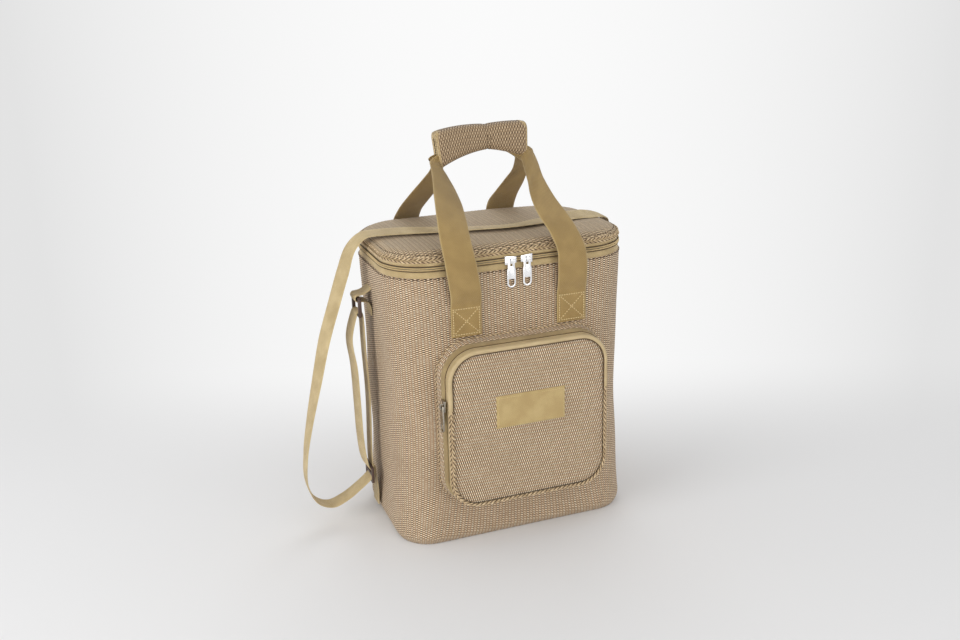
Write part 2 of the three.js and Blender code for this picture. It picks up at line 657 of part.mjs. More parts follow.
// A zip slider in its own frame: plates either side of the chain in the plane y = 0, joined by the
// neck, with a bridge on the front that holds the pull. The front is towards -y.
function sliderGeometry(chainHalf, lengthways) {
  const half = SLIDER_LENGTH / 2;
  const narrow = (SLIDER_TAPER * SLIDER_WIDTH) / 2;
  const outline = [
    [-half, -narrow],
    [half, -SLIDER_WIDTH / 2],
    [half, SLIDER_WIDTH / 2],
    [-half, narrow],
  ];
  const turned = lengthways ? outline.map(([a, b]) => [-b, a]) : outline;
  const shape = new THREE.Shape(turned.map(([a, b]) => new THREE.Vector2(a, b)));
  const inside = chainHalf + SLIDER_CLEARANCE;
  const plate = (y) => {
    const made = new THREE.ExtrudeGeometry(shape, { depth: SLIDER_PLATE, bevelEnabled: false });
    return solid(made.rotateX(Math.PI / 2).translate(0, y, 0));
  };
  const neckHalf = SLIDER_NECK / 2;
  const reach = half - NECK_SETBACK;
  const [nx, nz] = lengthways ? [neckHalf, reach] : [reach, neckHalf];
  const neck = block([-nx, -inside - SLIDER_PLATE / 2, -nz], [nx, inside + SLIDER_PLATE / 2, nz]);
  const front = -inside - SLIDER_PLATE;
  const bx = BRIDGE_WIDTH / 2;
  const bz = BRIDGE_SPAN / 2;
  const cap = front - BRIDGE_REACH;
  const root = front + SLIDER_PLATE / 2;
  const bridge = block([-bx, cap - BRIDGE_POST, -bz], [bx, root, bz]);
  const gap = block([-2 * bx, cap, BRIDGE_POST - bz], [2 * bx, front, bz - BRIDGE_POST]);
  const plates = plate(-inside).add(plate(inside + SLIDER_PLATE));
  return { geometry: geometryOf(plates.add(neck).add(bridge).subtract(gap)), front };
}

// A flat pull that hangs on the bridge by the bar above its eye, with a window near its foot.
function pullGeometry(front) {
  const top = BRIDGE_SPAN / 2 - BRIDGE_POST - PULL_SLACK;
  const half = PULL_WIDTH / 2;
  const curve = top - PULL_LENGTH + half;
  const eyeFoot = top - PULL_BAR - PULL_EYE;
  const neck = eyeFoot - PULL_BAR;
  const shoulder = neck - PULL_SHOULDER;
  const outline = new THREE.Shape();
  outline.moveTo(-PULL_EYE_HALF, top);
  outline.lineTo(-PULL_EYE_HALF, neck);
  outline.lineTo(-half, shoulder);
  outline.lineTo(-half, curve);
  outline.absarc(0, curve, half, Math.PI, 2 * Math.PI, false);
  outline.lineTo(half, shoulder);
  outline.lineTo(PULL_EYE_HALF, neck);
  outline.lineTo(PULL_EYE_HALF, top);
  const eye = new THREE.Path();
  const eyeHalf = BRIDGE_WIDTH / 2 + PULL_SLACK;
  eye.moveTo(-eyeHalf, top - PULL_BAR);
  eye.lineTo(eyeHalf, top - PULL_BAR);
  eye.lineTo(eyeHalf, eyeFoot);
  eye.lineTo(-eyeHalf, eyeFoot);
  const window = new THREE.Path();
  const windowHalf = half - PULL_RIM;
  window.moveTo(-windowHalf, curve);
  window.absarc(0, curve, windowHalf, Math.PI, 2 * Math.PI, false);
  window.lineTo(windowHalf, curve + PULL_WINDOW);
  window.lineTo(-windowHalf, curve + PULL_WINDOW);
  outline.holes.push(eye, window);
  const plate = new THREE.ExtrudeGeometry(outline, { depth: PULL, bevelEnabled: false, curveSegments: 6 });
  return plate.rotateX(Math.PI / 2).translate(0, front - BRIDGE_REACH / 2 + PULL / 2, 0);
}

function makeSliders() {
  const chainY = -halfDepth + tapeOuter + TAPE / 2;
  const main = sliderGeometry(COIL_DEPTH / 2, false);
  for (const [side, out] of [["left", -1], ["right", 1]]) {
    const slider = new THREE.Group();
    slider.position.set(out * SLIDER_REST, chainY, zipCentre);
    bag.add(slider);
    const body = place(`main_slider_${side}`, main.geometry, "metal", slider);
    body.rotation.y = out < 0 ? Math.PI : 0;
    place(`main_pull_${side}`, pullGeometry(main.front), "metal", slider);
  }
  const pocketSlider = new THREE.Group();
  const upright = sliderGeometry(POCKET_CLOTH / 2 + POCKET_COIL, true);
  const pocketSide = -POCKET_WIDTH / 2 - pocketFlare(pocketZip);
  pocketSlider.position.set(pocketSide + POCKET_CLOTH / 2, pocketZip, POCKET_SLIDER_HEIGHT);
  pocketSlider.rotation.z = -Math.PI / 2;
  bag.add(pocketSlider);
  place("pocket_slider", upright.geometry, "metal", pocketSlider);
  place("pocket_pull", pullGeometry(upright.front), "metal", pocketSlider);
}

// A flat rectangular frame in the YZ plane, with as many windows as asked, one above the other.
function frameGeometry(width, tall, thick, bar, windows) {
  const shape = new THREE.Shape(roundedRectangle(tall / 2, width / 2, FRAME_RADIUS, 3));
  const opening = (tall - bar * (windows + 1)) / windows;
  for (let i = 0; i < windows; i++) {
    const centre = -tall / 2 + bar + opening / 2 + i * (opening + bar);
    const hole = roundedRectangle(opening / 2, width / 2 - bar, WINDOW_RADIUS, 2);
    shape.holes.push(new THREE.Path(hole.map((p) => new THREE.Vector2(p.x + centre, p.y))));
  }
  const frame = new THREE.ExtrudeGeometry(shape, { depth: thick, bevelEnabled: false });
  return frame.translate(0, 0, -thick / 2).rotateY(-Math.PI / 2);
}

// The sewn tab: a tail of webbing on the wall that runs down into a loop round the ring's top bar.
function tabGeometry() {
  const bore = (RING_BAR / 2) * Math.SQRT2 + GAP;
  const outer = bore + TAB;
  const wall = -RING_STANDOFF + GAP;
  const shape = new THREE.Shape();
  shape.moveTo(wall, TAB_TOP - RING_TOP);
  shape.lineTo(wall, -TAB);
  shape.lineTo(0, -outer);
  shape.absarc(0, 0, outer, -Math.PI / 2, Math.PI / 2, false);
  shape.lineTo(wall + TAB, outer + TAB);
  shape.lineTo(wall + TAB, TAB_TOP - RING_TOP);
  const hole = new THREE.Path();
  hole.absarc(0, 0, bore, 0, 2 * Math.PI, true);
  shape.holes.push(hole);
  const sweep = { depth: STRAP_WIDTH, bevelEnabled: false, curveSegments: 6 };
  const tab = new THREE.ExtrudeGeometry(shape, sweep);
  return tab.rotateX(Math.PI / 2).translate(0, STRAP_WIDTH / 2, 0);
}

const ringX = halfWidth + RING_STANDOFF;
const adjusterX = halfWidth + ADJUSTER_STANDOFF;

function makeSideRings() {
  for (const [side, turn] of [["left", Math.PI], ["right", 0]]) {
    const fitting = new THREE.Group();
    fitting.position.set(turn ? -ringX : ringX, SIDE_Y, RING_TOP);
    fitting.rotation.z = turn;
    bag.add(fitting);
    place(`side_tab_${side}`, tabGeometry(), "strap", fitting);
    const ring = frameGeometry(RING_WIDTH, RING_HEIGHT, RING_BAR, RING_BAR, 1);
    ring.translate(0, 0, RING_BAR / 2 - RING_HEIGHT / 2);
    place(`side_ring_${side}`, ring, "plastic", fitting);
  }
  const adjuster = new THREE.Group();
  adjuster.position.set(-adjusterX, SIDE_Y, ADJUSTER_HEIGHT);
  bag.add(adjuster);
  const frame = frameGeometry(ADJUSTER_WIDTH, ADJUSTER_TALL, ADJUSTER, ADJUSTER_BAR, 2);
  place("strap_adjuster", frame, "plastic", adjuster);
}

function strapRow(x, y, z) {
  const wide = new THREE.Vector3(0, 1, 0);
  return { at: new THREE.Vector3(x, y, z), wide, width: STRAP_WIDTH, thick: STRAP };
}

// The webbing bent half round a ring's lower bar, from one side of the bar to the other.
function barTurn(x, from, to) {
  const low = RING_TOP - RING_HEIGHT + RING_BAR;
  const radius = (RING_BAR / 2) * Math.SQRT2 + GAP + STRAP / 2;
  return Array.from({ length: 5 }, (_, i) => {
    const angle = THREE.MathUtils.degToRad(from + ((to - from) * i) / 4);
    return strapRow(x + radius * Math.cos(angle), SIDE_Y, low + radius * Math.sin(angle));
  });
}

// Shoulder strap: doubled from the left ring down to the adjuster, then one long run that loops out
// beside the bag, up over the lid and down to the right ring.
function makeStrap() {
  const head = ADJUSTER_HEIGHT + ADJUSTER_TALL / 2 + GAP;
  const lean = STRAP / 2 + GAP;
  const length = RING_TOP - head;
  const fold = [
    strapRow(-adjusterX + lean, SIDE_Y, head),
    strapRow(-adjusterX + lean + FOLD_SAG, SIDE_Y, head + 0.45 * length),
    ...barTurn(-ringX, 0, 180),
    strapRow(-ringX - lean - FOLD_BOW, SIDE_Y, head + 0.74 * length),
    strapRow(-adjusterX - lean - FOLD_SAG, SIDE_Y, head + 0.4 * length),
    strapRow(-adjusterX - lean, SIDE_Y, head),
  ];
  place("shoulder_strap_fold", ribbon(fold, 3), "strap");

  const start = -adjusterX - ADJUSTER / 2 - STRAP / 2 - GAP;
  const overLid = lidTop + LID_CROWN + STRAP / 2 + GAP;
  const run = [
    strapRow(start, SIDE_Y, ADJUSTER_HEIGHT),
    strapRow(start - 3, SIDE_Y, ADJUSTER_HEIGHT - 8),
    strapRow(-182, SIDE_Y, 45),
    strapRow(-200, SIDE_Y, 33),
    strapRow(-220, SIDE_Y, 29),
    strapRow(-238, SIDE_Y, 39),
    strapRow(-248, SIDE_Y, 66),
    strapRow(-246, SIDE_Y, 103),
    strapRow(-238, SIDE_Y, 145),
    strapRow(-224, SIDE_Y, 202),
    strapRow(-211, SIDE_Y, 253),
    strapRow(-196, SIDE_Y, 298),
    strapRow(-183, SIDE_Y, 335),
    strapRow(-170, SIDE_Y, 362),
    strapRow(-157, 8, overLid - 2.5),
    strapRow(-138, 3, overLid - 0.4),
    strapRow(-110, -6, overLid),
    strapRow(-74, -16, overLid + 0.3),
    strapRow(-20, -30, overLid + 0.6),
    strapRow(15, -34, overLid + 0.6),
    strapRow(55, -30, overLid + 0.4),
    strapRow(97, -24, overLid),
    strapRow(125, -17, overLid - 0.2),
    strapRow(146, -10, overLid - 0.8),
    strapRow(158, -3, overLid - 8),
    strapRow(164, 4, overLid - 24),
    strapRow(ringX + 3, 10, RING_TOP + 32),
    strapRow(ringX + 8, SIDE_Y, RING_TOP + 8),
    strapRow(ringX + 8, SIDE_Y, RING_TOP - 8),
    ...barTurn(ringX, 0, -180),
    strapRow(ringX - 3.6, SIDE_Y, RING_TOP - RING_HEIGHT / 2 - 1),
  ];
  place("shoulder_strap", ribbon(run, 2), "strap");
}

makeBody();
const lid = makeLid();
makeMainZip(lid);
const pocketFlap = new THREE.Group();
bag.add(pocketFlap);
makePocket(pocketFlap);
makeHandles();
makeSliders();
makeSideRings();
makeStrap();

export default bag;
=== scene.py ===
import math

import bmesh
import bpy
import numpy as np
from mathutils import Matrix, Vector


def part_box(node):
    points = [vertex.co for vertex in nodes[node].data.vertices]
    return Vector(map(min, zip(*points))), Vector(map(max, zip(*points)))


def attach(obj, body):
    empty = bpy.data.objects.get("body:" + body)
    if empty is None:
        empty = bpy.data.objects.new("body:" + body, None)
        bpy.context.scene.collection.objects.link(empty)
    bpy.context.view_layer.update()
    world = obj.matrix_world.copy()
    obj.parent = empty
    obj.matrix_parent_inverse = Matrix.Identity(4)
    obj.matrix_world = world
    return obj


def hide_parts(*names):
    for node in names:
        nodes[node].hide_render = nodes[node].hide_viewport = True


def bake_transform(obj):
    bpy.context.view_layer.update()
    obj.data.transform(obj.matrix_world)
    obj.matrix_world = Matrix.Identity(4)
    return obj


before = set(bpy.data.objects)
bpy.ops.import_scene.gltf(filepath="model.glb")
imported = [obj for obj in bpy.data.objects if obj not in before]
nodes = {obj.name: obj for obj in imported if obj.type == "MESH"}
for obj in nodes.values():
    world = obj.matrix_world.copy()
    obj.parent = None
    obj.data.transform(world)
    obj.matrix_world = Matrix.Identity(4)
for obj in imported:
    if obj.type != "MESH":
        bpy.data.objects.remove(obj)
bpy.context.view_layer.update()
scene = bpy.context.scene
scene.view_settings.view_transform = "Standard"
MM = 0.001

# View: the bag is seen from a little above and to the left of its front, from about 1.4 m away.
# The camera leans by a degree and a half, as it was held.
VIEW_FROM = (-0.4518, -1.1976, 0.6794)
VIEW_RIGHT = (0.9357, -0.3519, -0.0263)
VIEW_UP = (0.1357, 0.2901, 0.9473)
VIEW_BACK = (-0.3257, -0.8900, 0.3191)
LENS = 39.7
SENSOR = 36


def placed(name, data):
    """A new object of a mesh, lamp or camera, put in the scene."""
    made = bpy.data.objects.new(name, data)
    scene.collection.objects.link(made)
    return made


camera = placed("photo_camera", bpy.data.cameras.new("photo_camera"))
camera.data.lens = LENS
camera.data.sensor_width = SENSOR
turn = Matrix((VIEW_RIGHT, VIEW_UP, VIEW_BACK)).transposed().to_4x4()
camera.matrix_world = Matrix.Translation(VIEW_FROM) @ turn
scene.camera = camera

# Studio: a pale floor that fades into a white backdrop behind the bag, which is a little dimmer to its sides,
# one broad soft lamp in front and two more at the left and behind, and an even pale surround.
SURROUND_LIGHT = 0.66
BACKDROP_LIGHT = 0.96
SIDE_LOSS = 1.0
MOST_LOSS = 0.19
LEAST_AHEAD = 0.0001
FLOOR_REACH = 30
FLOOR_WHITE = 0.79
FLOOR_BLUE = FLOOR_WHITE * 1.005
FADE_BEHIND = (0.02, 0.5)
FADE_AROUND = (0.8, 2.2)
LAMP_AIM = Vector((0, 0, 0.2))
LAMPS = {
    "key_lamp": ((0.3, -1.9, 0.5), 1.5, 14),
    "left_lamp": ((-2.0, -0.75, 0.9), 1.2, 22),
    "back_lamp": ((0.6, 1.7, 1.9), 1.4, 9),
}
view_distance = math.hypot(VIEW_FROM[0], VIEW_FROM[1])
ahead_x = -VIEW_FROM[0] / view_distance
ahead_y = -VIEW_FROM[1] / view_distance


def add_node(tree, kind, inputs=(), **settings):
    """A node with its settings made and its inputs filled by values or by other nodes' outputs."""
    made = tree.nodes.new(kind)
    for setting, value in settings.items():
        setattr(made, setting, value)
    for socket, value in dict(inputs).items():
        if isinstance(value, bpy.types.NodeSocket):
            tree.links.new(value, made.inputs[socket])
        else:
            made.inputs[socket].default_value = value
    return made


def calc(operation, *values):
    """One step of arithmetic, in the node tree that its values belong to."""
    tree = next(value.id_data for value in values if isinstance(value, bpy.types.NodeSocket))
    return add_node(tree, "ShaderNodeMath", enumerate(values), operation=operation).outputs[0]


def scaled(value, span, least):
    """A value times span, plus least."""
    return calc("ADD", calc("MULTIPLY", value, span), least)


def rising(value, low, high):
    """0 below low, 1 above high and a smooth rise between them."""
    sockets = {"Value": value, "From Min": low, "From Max": high}
    return add_node(value.id_data, "ShaderNodeMapRange", sockets, interpolation_type="SMOOTHSTEP").outputs[0]


def new_material(name, **sockets):
    """A material whose even values sit on the shader's own sockets."""
    material = bpy.data.materials.new(name)
    material.use_nodes = True
    shader = material.node_tree.nodes["Principled BSDF"]
    for socket, value in sockets.items():
        shader.inputs[socket.replace("_", " ")].default_value = value
    return material, material.node_tree, shader.inputs


def seen_by_camera(tree):
    """1 for what the camera sees directly, in a reflection or through glass."""
    path = add_node(tree, "ShaderNodeLightPath").outputs
    mirrored = calc("MAXIMUM", path["Is Glossy Ray"], path["Is Transmission Ray"])
    return calc("MAXIMUM", path["Is Camera Ray"], mirrored)


def along(place, share_x, share_y):
    """How far a place lies along a level direction."""
    parts = add_node(place.id_data, "ShaderNodeSeparateXYZ", {0: place}).outputs
    shares = [calc("MULTIPLY", part, share) for part, share in zip(parts, (share_x, share_y))]
    return calc("ADD", *shares)


def backdrop_light(place, nearest):
    """The backdrop's light at a place: less the further it lies to either side of the view."""
    ahead = calc("ADD", calc("ABSOLUTE", along(place, ahead_x, ahead_y)), nearest)
    turned = calc("DIVIDE", along(place, ahead_y, -ahead_x), ahead)
    loss = calc("MULTIPLY", calc("POWER", turned, 2.0), SIDE_LOSS)
    return calc("SUBTRACT", BACKDROP_LIGHT, calc("MINIMUM", loss, MOST_LOSS))


world = bpy.data.worlds.new("pale_surround")
scene.world = world
world.use_nodes = True
tree = world.node_tree
surround = tree.nodes["Background"]
surround.inputs["Color"].default_value = (1, 1, 1, 1)
way = add_node(tree, "ShaderNodeTexCoord").outputs["Generated"]
more = calc("SUBTRACT", backdrop_light(way, LEAST_AHEAD), SURROUND_LIGHT)
tree.links.new(scaled(seen_by_camera(tree), more, SURROUND_LIGHT), surround.inputs["Strength"])

floor_mesh = bpy.data.meshes.new("floor")
corners = [(x * FLOOR_REACH, y * FLOOR_REACH, 0) for x, y in ((-1, -1), (1, -1), (1, 1), (-1, 1))]
floor_mesh.from_pydata(corners, [], [(0, 1, 2, 3)])
floor = placed("floor", floor_mesh)
paper, tree, _ = new_material("floor_paper", Base_Color=(FLOOR_WHITE, FLOOR_WHITE, FLOOR_BLUE, 1),
                              Roughness=0.9, Specular_IOR_Level=0.1)
matt = tree.nodes["Principled BSDF"].outputs[0]
place = add_node(tree, "ShaderNodeTexCoord").outputs["Object"]
distance = add_node(tree, "ShaderNodeVectorMath", {0: place}, operation="LENGTH").outputs["Value"]
faded = calc("MAXIMUM", rising(along(place, ahead_x, ahead_y), *FADE_BEHIND),
             rising(distance, *FADE_AROUND))
far = calc("MULTIPLY", faded, seen_by_camera(tree))
strength = backdrop_light(place, view_distance)
glow = add_node(tree, "ShaderNodeEmission", {"Color": (1, 1, 1, 1), "Strength": strength}).outputs[0]
both = add_node(tree, "ShaderNodeMixShader", {0: far, 1: matt, 2: glow}).outputs[0]
tree.links.new(both, tree.nodes["Material Output"].inputs["Surface"])
floor_mesh.materials.append(paper)

for name, (place, size, power) in LAMPS.items():
    lamp = placed(name, bpy.data.lights.new(name, "AREA"))
    lamp.data.size = size
    lamp.data.energy = power
    lamp.location = place
    lamp.rotation_euler = (LAMP_AIM - Vector(place)).to_track_quat("-Z", "Y").to_euler()

# Woven wall: one long panel of straw-look yarn, woven in upright ribs and wrapped round the bag. It is
# soft, so it draws in at the waist and waves a little, and its foot rounds under to the base.
HALF_WIDTH, HALF_DEPTH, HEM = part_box("body_panel")[1]
CORNER = 58 * MM
CORNERS = ((1, 1), (-1, 1), (-1, -1), (1, -1))
WAIST = 4 * MM
WAIST_HEIGHT = 150 * MM
FOOT_ROUNDING = 6 * MM
FOOT_HEIGHT = 14 * MM
SQUARED_FOOT = 13 * MM
RIB = 3.78 * MM
RIB_RISE = 0.2 * MM
RIB_COLUMNS = 3
WALL_RIBS = 240
STITCH = 2.6 * MM
# Half sizes of the weave's ovals, across and along, as shares of a rib and of a stitch.
STITCH_OVAL = (0.46, 0.36)
PIT_OVAL = (0.52, 0.33)
PIT_RISE = 0.5
OVAL_EDGE = (1.05, 0.2)
FURROW_SPAN = (0.34, 0.5)
# How far chance lights each stitch and patches darken each pit, as a span and the least.
STITCH_LIGHT = (0.45, 0.6)
PIT_DARK = (0.7, 0.6)
PATCHY_SCALE = 26.0
PATCHY_SHADE = 0.4
FIBRE_SCALE = 1500.0
FIBRE_SHADE = 0.3
SHADE_LEVEL = 0.46
# Shares of the weave's height.
RIB_SHARE = 0.2
STITCH_SHARE = 0.6
PIT_SHARE = 0.5
FIBRE_SHARE = 0.25
# The wall's waves: size in mm, how many round it, how many half turns up it, and where they start.
WAVES = ((0.9, 5, 3, 0), (0.7, 9, -5, 1))


def colour(red, green, blue):
    """A colour as it is seen, 0 to 255, in the linear form that shaders take."""
    return tuple(((v / 255 + 0.055) / 1.055) ** 2.4 for v in (red, green, blue)) + (1.0,)


def colour_mix(share, first, second):
    """Two colours mixed, in the node tree that the share belongs to."""
    sockets = {0: share, 6: first, 7: second}
    return add_node(share.id_data, "ShaderNodeMix", sockets, data_type="RGBA").outputs[2]


def new_group(name, inputs):
    """An empty shader node group for a cloth's colour and height, and the sockets that enter and leave it."""
    group = bpy.data.node_groups.new(name, "ShaderNodeTree")
    for socket, kind in inputs.items():
        group.interface.new_socket(socket, in_out="INPUT", socket_type="NodeSocket" + kind)
    for socket, kind in (("Color", "Color"), ("Height", "Float")):
        group.interface.new_socket(socket, in_out="OUTPUT", socket_type="NodeSocket" + kind)
    return group, group.nodes.new("NodeGroupInput").outputs, group.nodes.new("NodeGroupOutput").inputs


def bumped(height, distance):
    """A normal from a height, with the height's full range worth distance in metres."""
    sockets = {"Height": height, "Distance": distance}
    return add_node(height.id_data, "ShaderNodeBump", sockets).outputs["Normal"]


# The weave's stitches are pale ovals in columns, each column half a stitch above the last, with a dark pit
# between one stitch and the next and a dark furrow between columns. Every other column is weaker. The pale
# tops are partly paler yarn and partly painted highlight, and the pits and furrows partly real gaps and
# partly painted shade.
weave, given, result = new_group(
    "straw weave",
    {"Map": "Vector", "Rib": "Float", "Stitch": "Float", "Slant": "Float", "Weak": "Float",
     "Furrow": "Float", "Pale_highlight": "Color", "Straw": "Color", "Pit_shade": "Color"},
)
flat = add_node(weave, "ShaderNodeSeparateXYZ", {0: given["Map"]}).outputs


def weave_spot(rise, half_side, half_step):
    """Staggered ovals on the weave: how strongly each place lies in one, its cell and its place across."""
    across = calc("DIVIDE", flat[0], given["Rib"])
    column = calc("FLOOR", across)
    side = calc("SUBTRACT", calc("SUBTRACT", across, column), 0.5)
    half = calc("MULTIPLY", calc("FLOORED_MODULO", column, 2.0), 0.5)
    lean = scaled(side, given["Slant"], rise)
    upward = calc("ADD", calc("DIVIDE", flat[1], given["Stitch"]), calc("ADD", half, lean))
    row = calc("FLOOR", upward)
    step = calc("SUBTRACT", calc("SUBTRACT", upward, row), 0.5)
    round_side = calc("POWER", calc("DIVIDE", side, half_side), 2.0)
    round_step = calc("POWER", calc("DIVIDE", step, half_step), 2.0)
    inside = rising(calc("ADD", round_side, round_step), *OVAL_EDGE)
    lost = calc("MULTIPLY", calc("MULTIPLY", half, 2.0), calc("SUBTRACT", 1.0, given["Weak"]))
    inside = calc("MULTIPLY", inside, calc("SUBTRACT", 1.0, lost))
    return inside, add_node(weave, "ShaderNodeCombineXYZ", {0: column, 1: row}).outputs[0], side


stitch, cell, side = weave_spot(0.0, *STITCH_OVAL)
pit, _, _ = weave_spot(PIT_RISE, *PIT_OVAL)
chance = add_node(weave, "ShaderNodeTexWhiteNoise", {"Vector": cell}).outputs["Value"]
patchy = add_node(weave, "ShaderNodeTexNoise", {"Vector": given["Map"], "Scale": PATCHY_SCALE}).outputs["Fac"]
fibre = add_node(weave, "ShaderNodeTexNoise", {"Vector": given["Map"], "Scale": FIBRE_SCALE}).outputs["Fac"]
# The pale stitch tops: paler yarn with painted highlight.
lit = calc("MULTIPLY", stitch, scaled(chance, *STITCH_LIGHT))
yarn = colour_mix(lit, given["Straw"], given["Pale_highlight"])
# The dark pits and furrows: real gaps with painted shade in them.
depth = calc("MULTIPLY", pit, scaled(patchy, *PIT_DARK))
furrow = rising(calc("ABSOLUTE", side), *FURROW_SPAN)
depth = calc("MAXIMUM", depth, calc("MULTIPLY", furrow, given["Furrow"]))
holed = colour_mix(depth, yarn, given["Pit_shade"])
shade = scaled(patchy, PATCHY_SHADE, calc("MULTIPLY", fibre, FIBRE_SHADE))
weave.links.new(colour_mix(calc("SUBTRACT", SHADE_LEVEL, shade), holed, given["Pit_shade"]), result["Color"])
rib_arch = calc("SUBTRACT", 1.0, calc("MULTIPLY", calc("POWER", side, 2.0), 4.0))
domed = scaled(rib_arch, RIB_SHARE, calc("MULTIPLY", stitch, STITCH_SHARE))
sunk = calc("SUBTRACT", domed, calc("MULTIPLY", pit, PIT_SHARE))
weave.links.new(scaled(fibre, FIBRE_SHARE, sunk), result["Height"])

# The weave's pale colour is paler yarn with painted highlight, and its pit colour is painted shade in the
# real gaps.
STRAW_COLOURS = {"Pale_highlight": colour(255, 235, 203), "Straw": colour(190, 156, 118), "Pit_shade": colour(36, 24, 14)}


def woven_material(name, rib=RIB, stitch=STITCH, slant=0.0, relief=0.6 * MM, colours=STRAW_COLOURS,
                   weak=0.75, furrow=0.45):
    """The weave laid on a piece's own flat map, with u across the ribs and v along them."""
    material, tree, shader = new_material(name, Roughness=0.72, Sheen_Weight=0.12)
    flat_map = add_node(tree, "ShaderNodeUVMap", uv_map="cloth").outputs[0]
    sockets = {"Map": flat_map, "Rib": rib, "Stitch": stitch, "Slant": slant, "Weak": weak,
               "Furrow": furrow, **colours}
    cloth = add_node(tree, "ShaderNodeGroup", sockets, node_tree=weave).outputs
    tree.links.new(cloth["Color"], shader["Base Color"])
    tree.links.new(bumped(cloth["Height"], relief), shader["Normal"])
    return material


def stations(count, half_x, half_y, radius, start=0.0, share=1.0, closed=True):
    """Evenly spaced places round a rounded rectangle, so that each can be found on outlines of other sizes.
    A place is its share of the way across and up, and its outward direction."""
    sides = [2 * (half_y - radius), 2 * (half_x - radius)] * 2
    arc = math.pi * radius / 2
    total = sum(sides) + 4 * arc
    places = []
    for k in range(count):
        left = (start + share * k / (count if closed else count - 1)) * total % total
        for quarter in range(4):
            before, after = CORNERS[quarter - 1], CORNERS[quarter]
            if left <= sides[quarter]:
                part = left / sides[quarter]
                shares = [a + (b - a) * part for a, b in zip(before, after)]
                angle = quarter * math.pi / 2
                break
            left -= sides[quarter]
            if left <= arc:
                shares = after
                angle = (quarter + left / arc) * math.pi / 2
                break
            left -= arc
        places.append((*shares, math.cos(angle), math.sin(angle)))
    return np.array(places), total


def on_outline(places, half_x, half_y, radius):
    """The points of such places on one rounded rectangle."""
    share_x, share_y, out_x, out_y = places.T
    return np.stack([share_x * (half_x - radius) + radius * out_x,
                     share_y * (half_y - radius) + radius * out_y], axis=1)


def measured(points):
    """How far along a line each of its points lies."""
    return np.concatenate([[0], np.cumsum(np.linalg.norm(np.diff(points, axis=0), axis=1))])


def cloth_object(name, points, flat, material, closed=False, looped=False, inward=False):
    """A sheet from a grid of points, row by row, with its flat map in metres. A closed sheet joins its last
    column to its first, a looped one its last row to its first, and the map has one more of each."""
    points = np.asarray(points, float)
    flat = np.asarray(flat, float)
    tall, wide = points.shape[:2]
    row = np.arange(tall if looped else tall - 1)[:, None]
    column = np.arange(wide if closed else wide - 1)[None, :]
    steps = [(0, 0), (0, 1), (1, 1), (1, 0)]
    steps = steps[::-1] if inward else steps
    quads = [((row + r) % tall) * wide + (column + c) % wide for r, c in steps]
    maps = [flat[(row + r), (column + c)] for r, c in steps]
    mesh = bpy.data.meshes.new(name)
    mesh.from_pydata(points.reshape(-1, 3).tolist(), [], np.stack(quads, -1).reshape(-1, 4).tolist())
    mesh.uv_layers.new(name="cloth").data.foreach_set("uv", np.stack(maps, -2).ravel())
    mesh.shade_smooth()
    mesh.materials.append(material)
    return placed(name, mesh)


def flat_grid(columns, rows):
    """A flat map from the places of the columns and of the rows."""
    return np.stack(np.meshgrid(columns, rows), axis=-1)


def settle(piece, body, slot, *stands_for):
    """Fixes a finished piece to its body and hides the nodes that it stands for. The slot is not used."""
    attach(piece, body)
    if stands_for:
        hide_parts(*stands_for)


def wall_outline(places, inset, z, squared=0.0):
    """The wall's outline at a height, drawn in at the waist and rounded under at the foot. Its corners can be
    squarer towards the foot."""
    rise = z / WAIST_HEIGHT if z < WAIST_HEIGHT else (HEM - z) / (HEM - WAIST_HEIGHT)
    waist = WAIST * math.sin(math.pi / 2 * max(0.0, rise))
    under = inset + FOOT_ROUNDING * max(0.0, 1 - z / FOOT_HEIGHT) ** 2
    radius = CORNER - under - squared * max(0.0, 1 - z / WAIST_HEIGHT) ** 2
    return on_outline(places, HALF_WIDTH - under - waist, HALF_DEPTH - under, radius)


def soft_wave(angle, z):
    """How far the soft wall waves in and out, in metres."""
    height = math.pi * z / HEM
    wave = sum(size * np.sin(around * angle + up * height + start) for size, around, up, start in WAVES)
    return wave * math.sin(height) * MM


woven_upright = woven_material("upright_weave")
wall_places, wall_length = stations(WALL_RIBS * RIB_COLUMNS, HALF_WIDTH, HALF_DEPTH, CORNER)
wall_angle = np.linspace(0, 2 * math.pi, len(wall_places), endpoint=False)
rib_shape = np.tile(np.sin(np.pi * np.arange(RIB_COLUMNS) / RIB_COLUMNS), WALL_RIBS) - 0.5
# The wall's profile from the rolled hem down to the tuck under the base: inset in mm, height, and if ribbed.
hem_roll = [(3.2, HEM - 8 * MM), (2.9, HEM - 2 * MM), (2.2, HEM), (1.2, HEM + 0.5 * MM), (0.3, HEM)]
heights = [*np.linspace(HEM - 1.5 * MM, FOOT_HEIGHT, 84), *np.linspace(FOOT_HEIGHT, 0.3 * MM, 8)[1:]]
tuck = [(1.0, 0.1 * MM), (5.0, 0.3 * MM), (10.0, 0.6 * MM)]
profile = [*((inset, z, 0) for inset, z in hem_roll), *((0, z, 1) for z in heights),
           *((inset, z, 0) for inset, z in tuck)]
wall_rows = []
for inset, z, ribbed in profile:
    outline = wall_outline(wall_places, inset * MM, z, SQUARED_FOOT)
    push = ribbed * (RIB_RISE * rib_shape + soft_wave(wall_angle, z))
    outline = outline + wall_places[:, 2:] * push[:, None]
    wall_rows.append(np.column_stack([outline, np.full(len(outline), z)]))
wall_u = np.linspace(0, WALL_RIBS * RIB, len(wall_places) + 1)
drop = -measured([row[0] for row in wall_rows])
wall = cloth_object("woven_wall", wall_rows, flat_grid(wall_u, drop), woven_upright, closed=True, inward=True)
settle(wall, "bag", "body_weave", "body_panel")

# Woven base: a flat panel of the same cloth, sewn to the foot of the wall and stiffened by the foam above.
# It stands a millimetre clear of the floor inside the wall's tuck.
BASE_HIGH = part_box("base_panel")[1]
BASE_CORNER = CORNER - 9 * MM
BASE_LIFT = 1.0 * MM
BASE_RIBS = 74


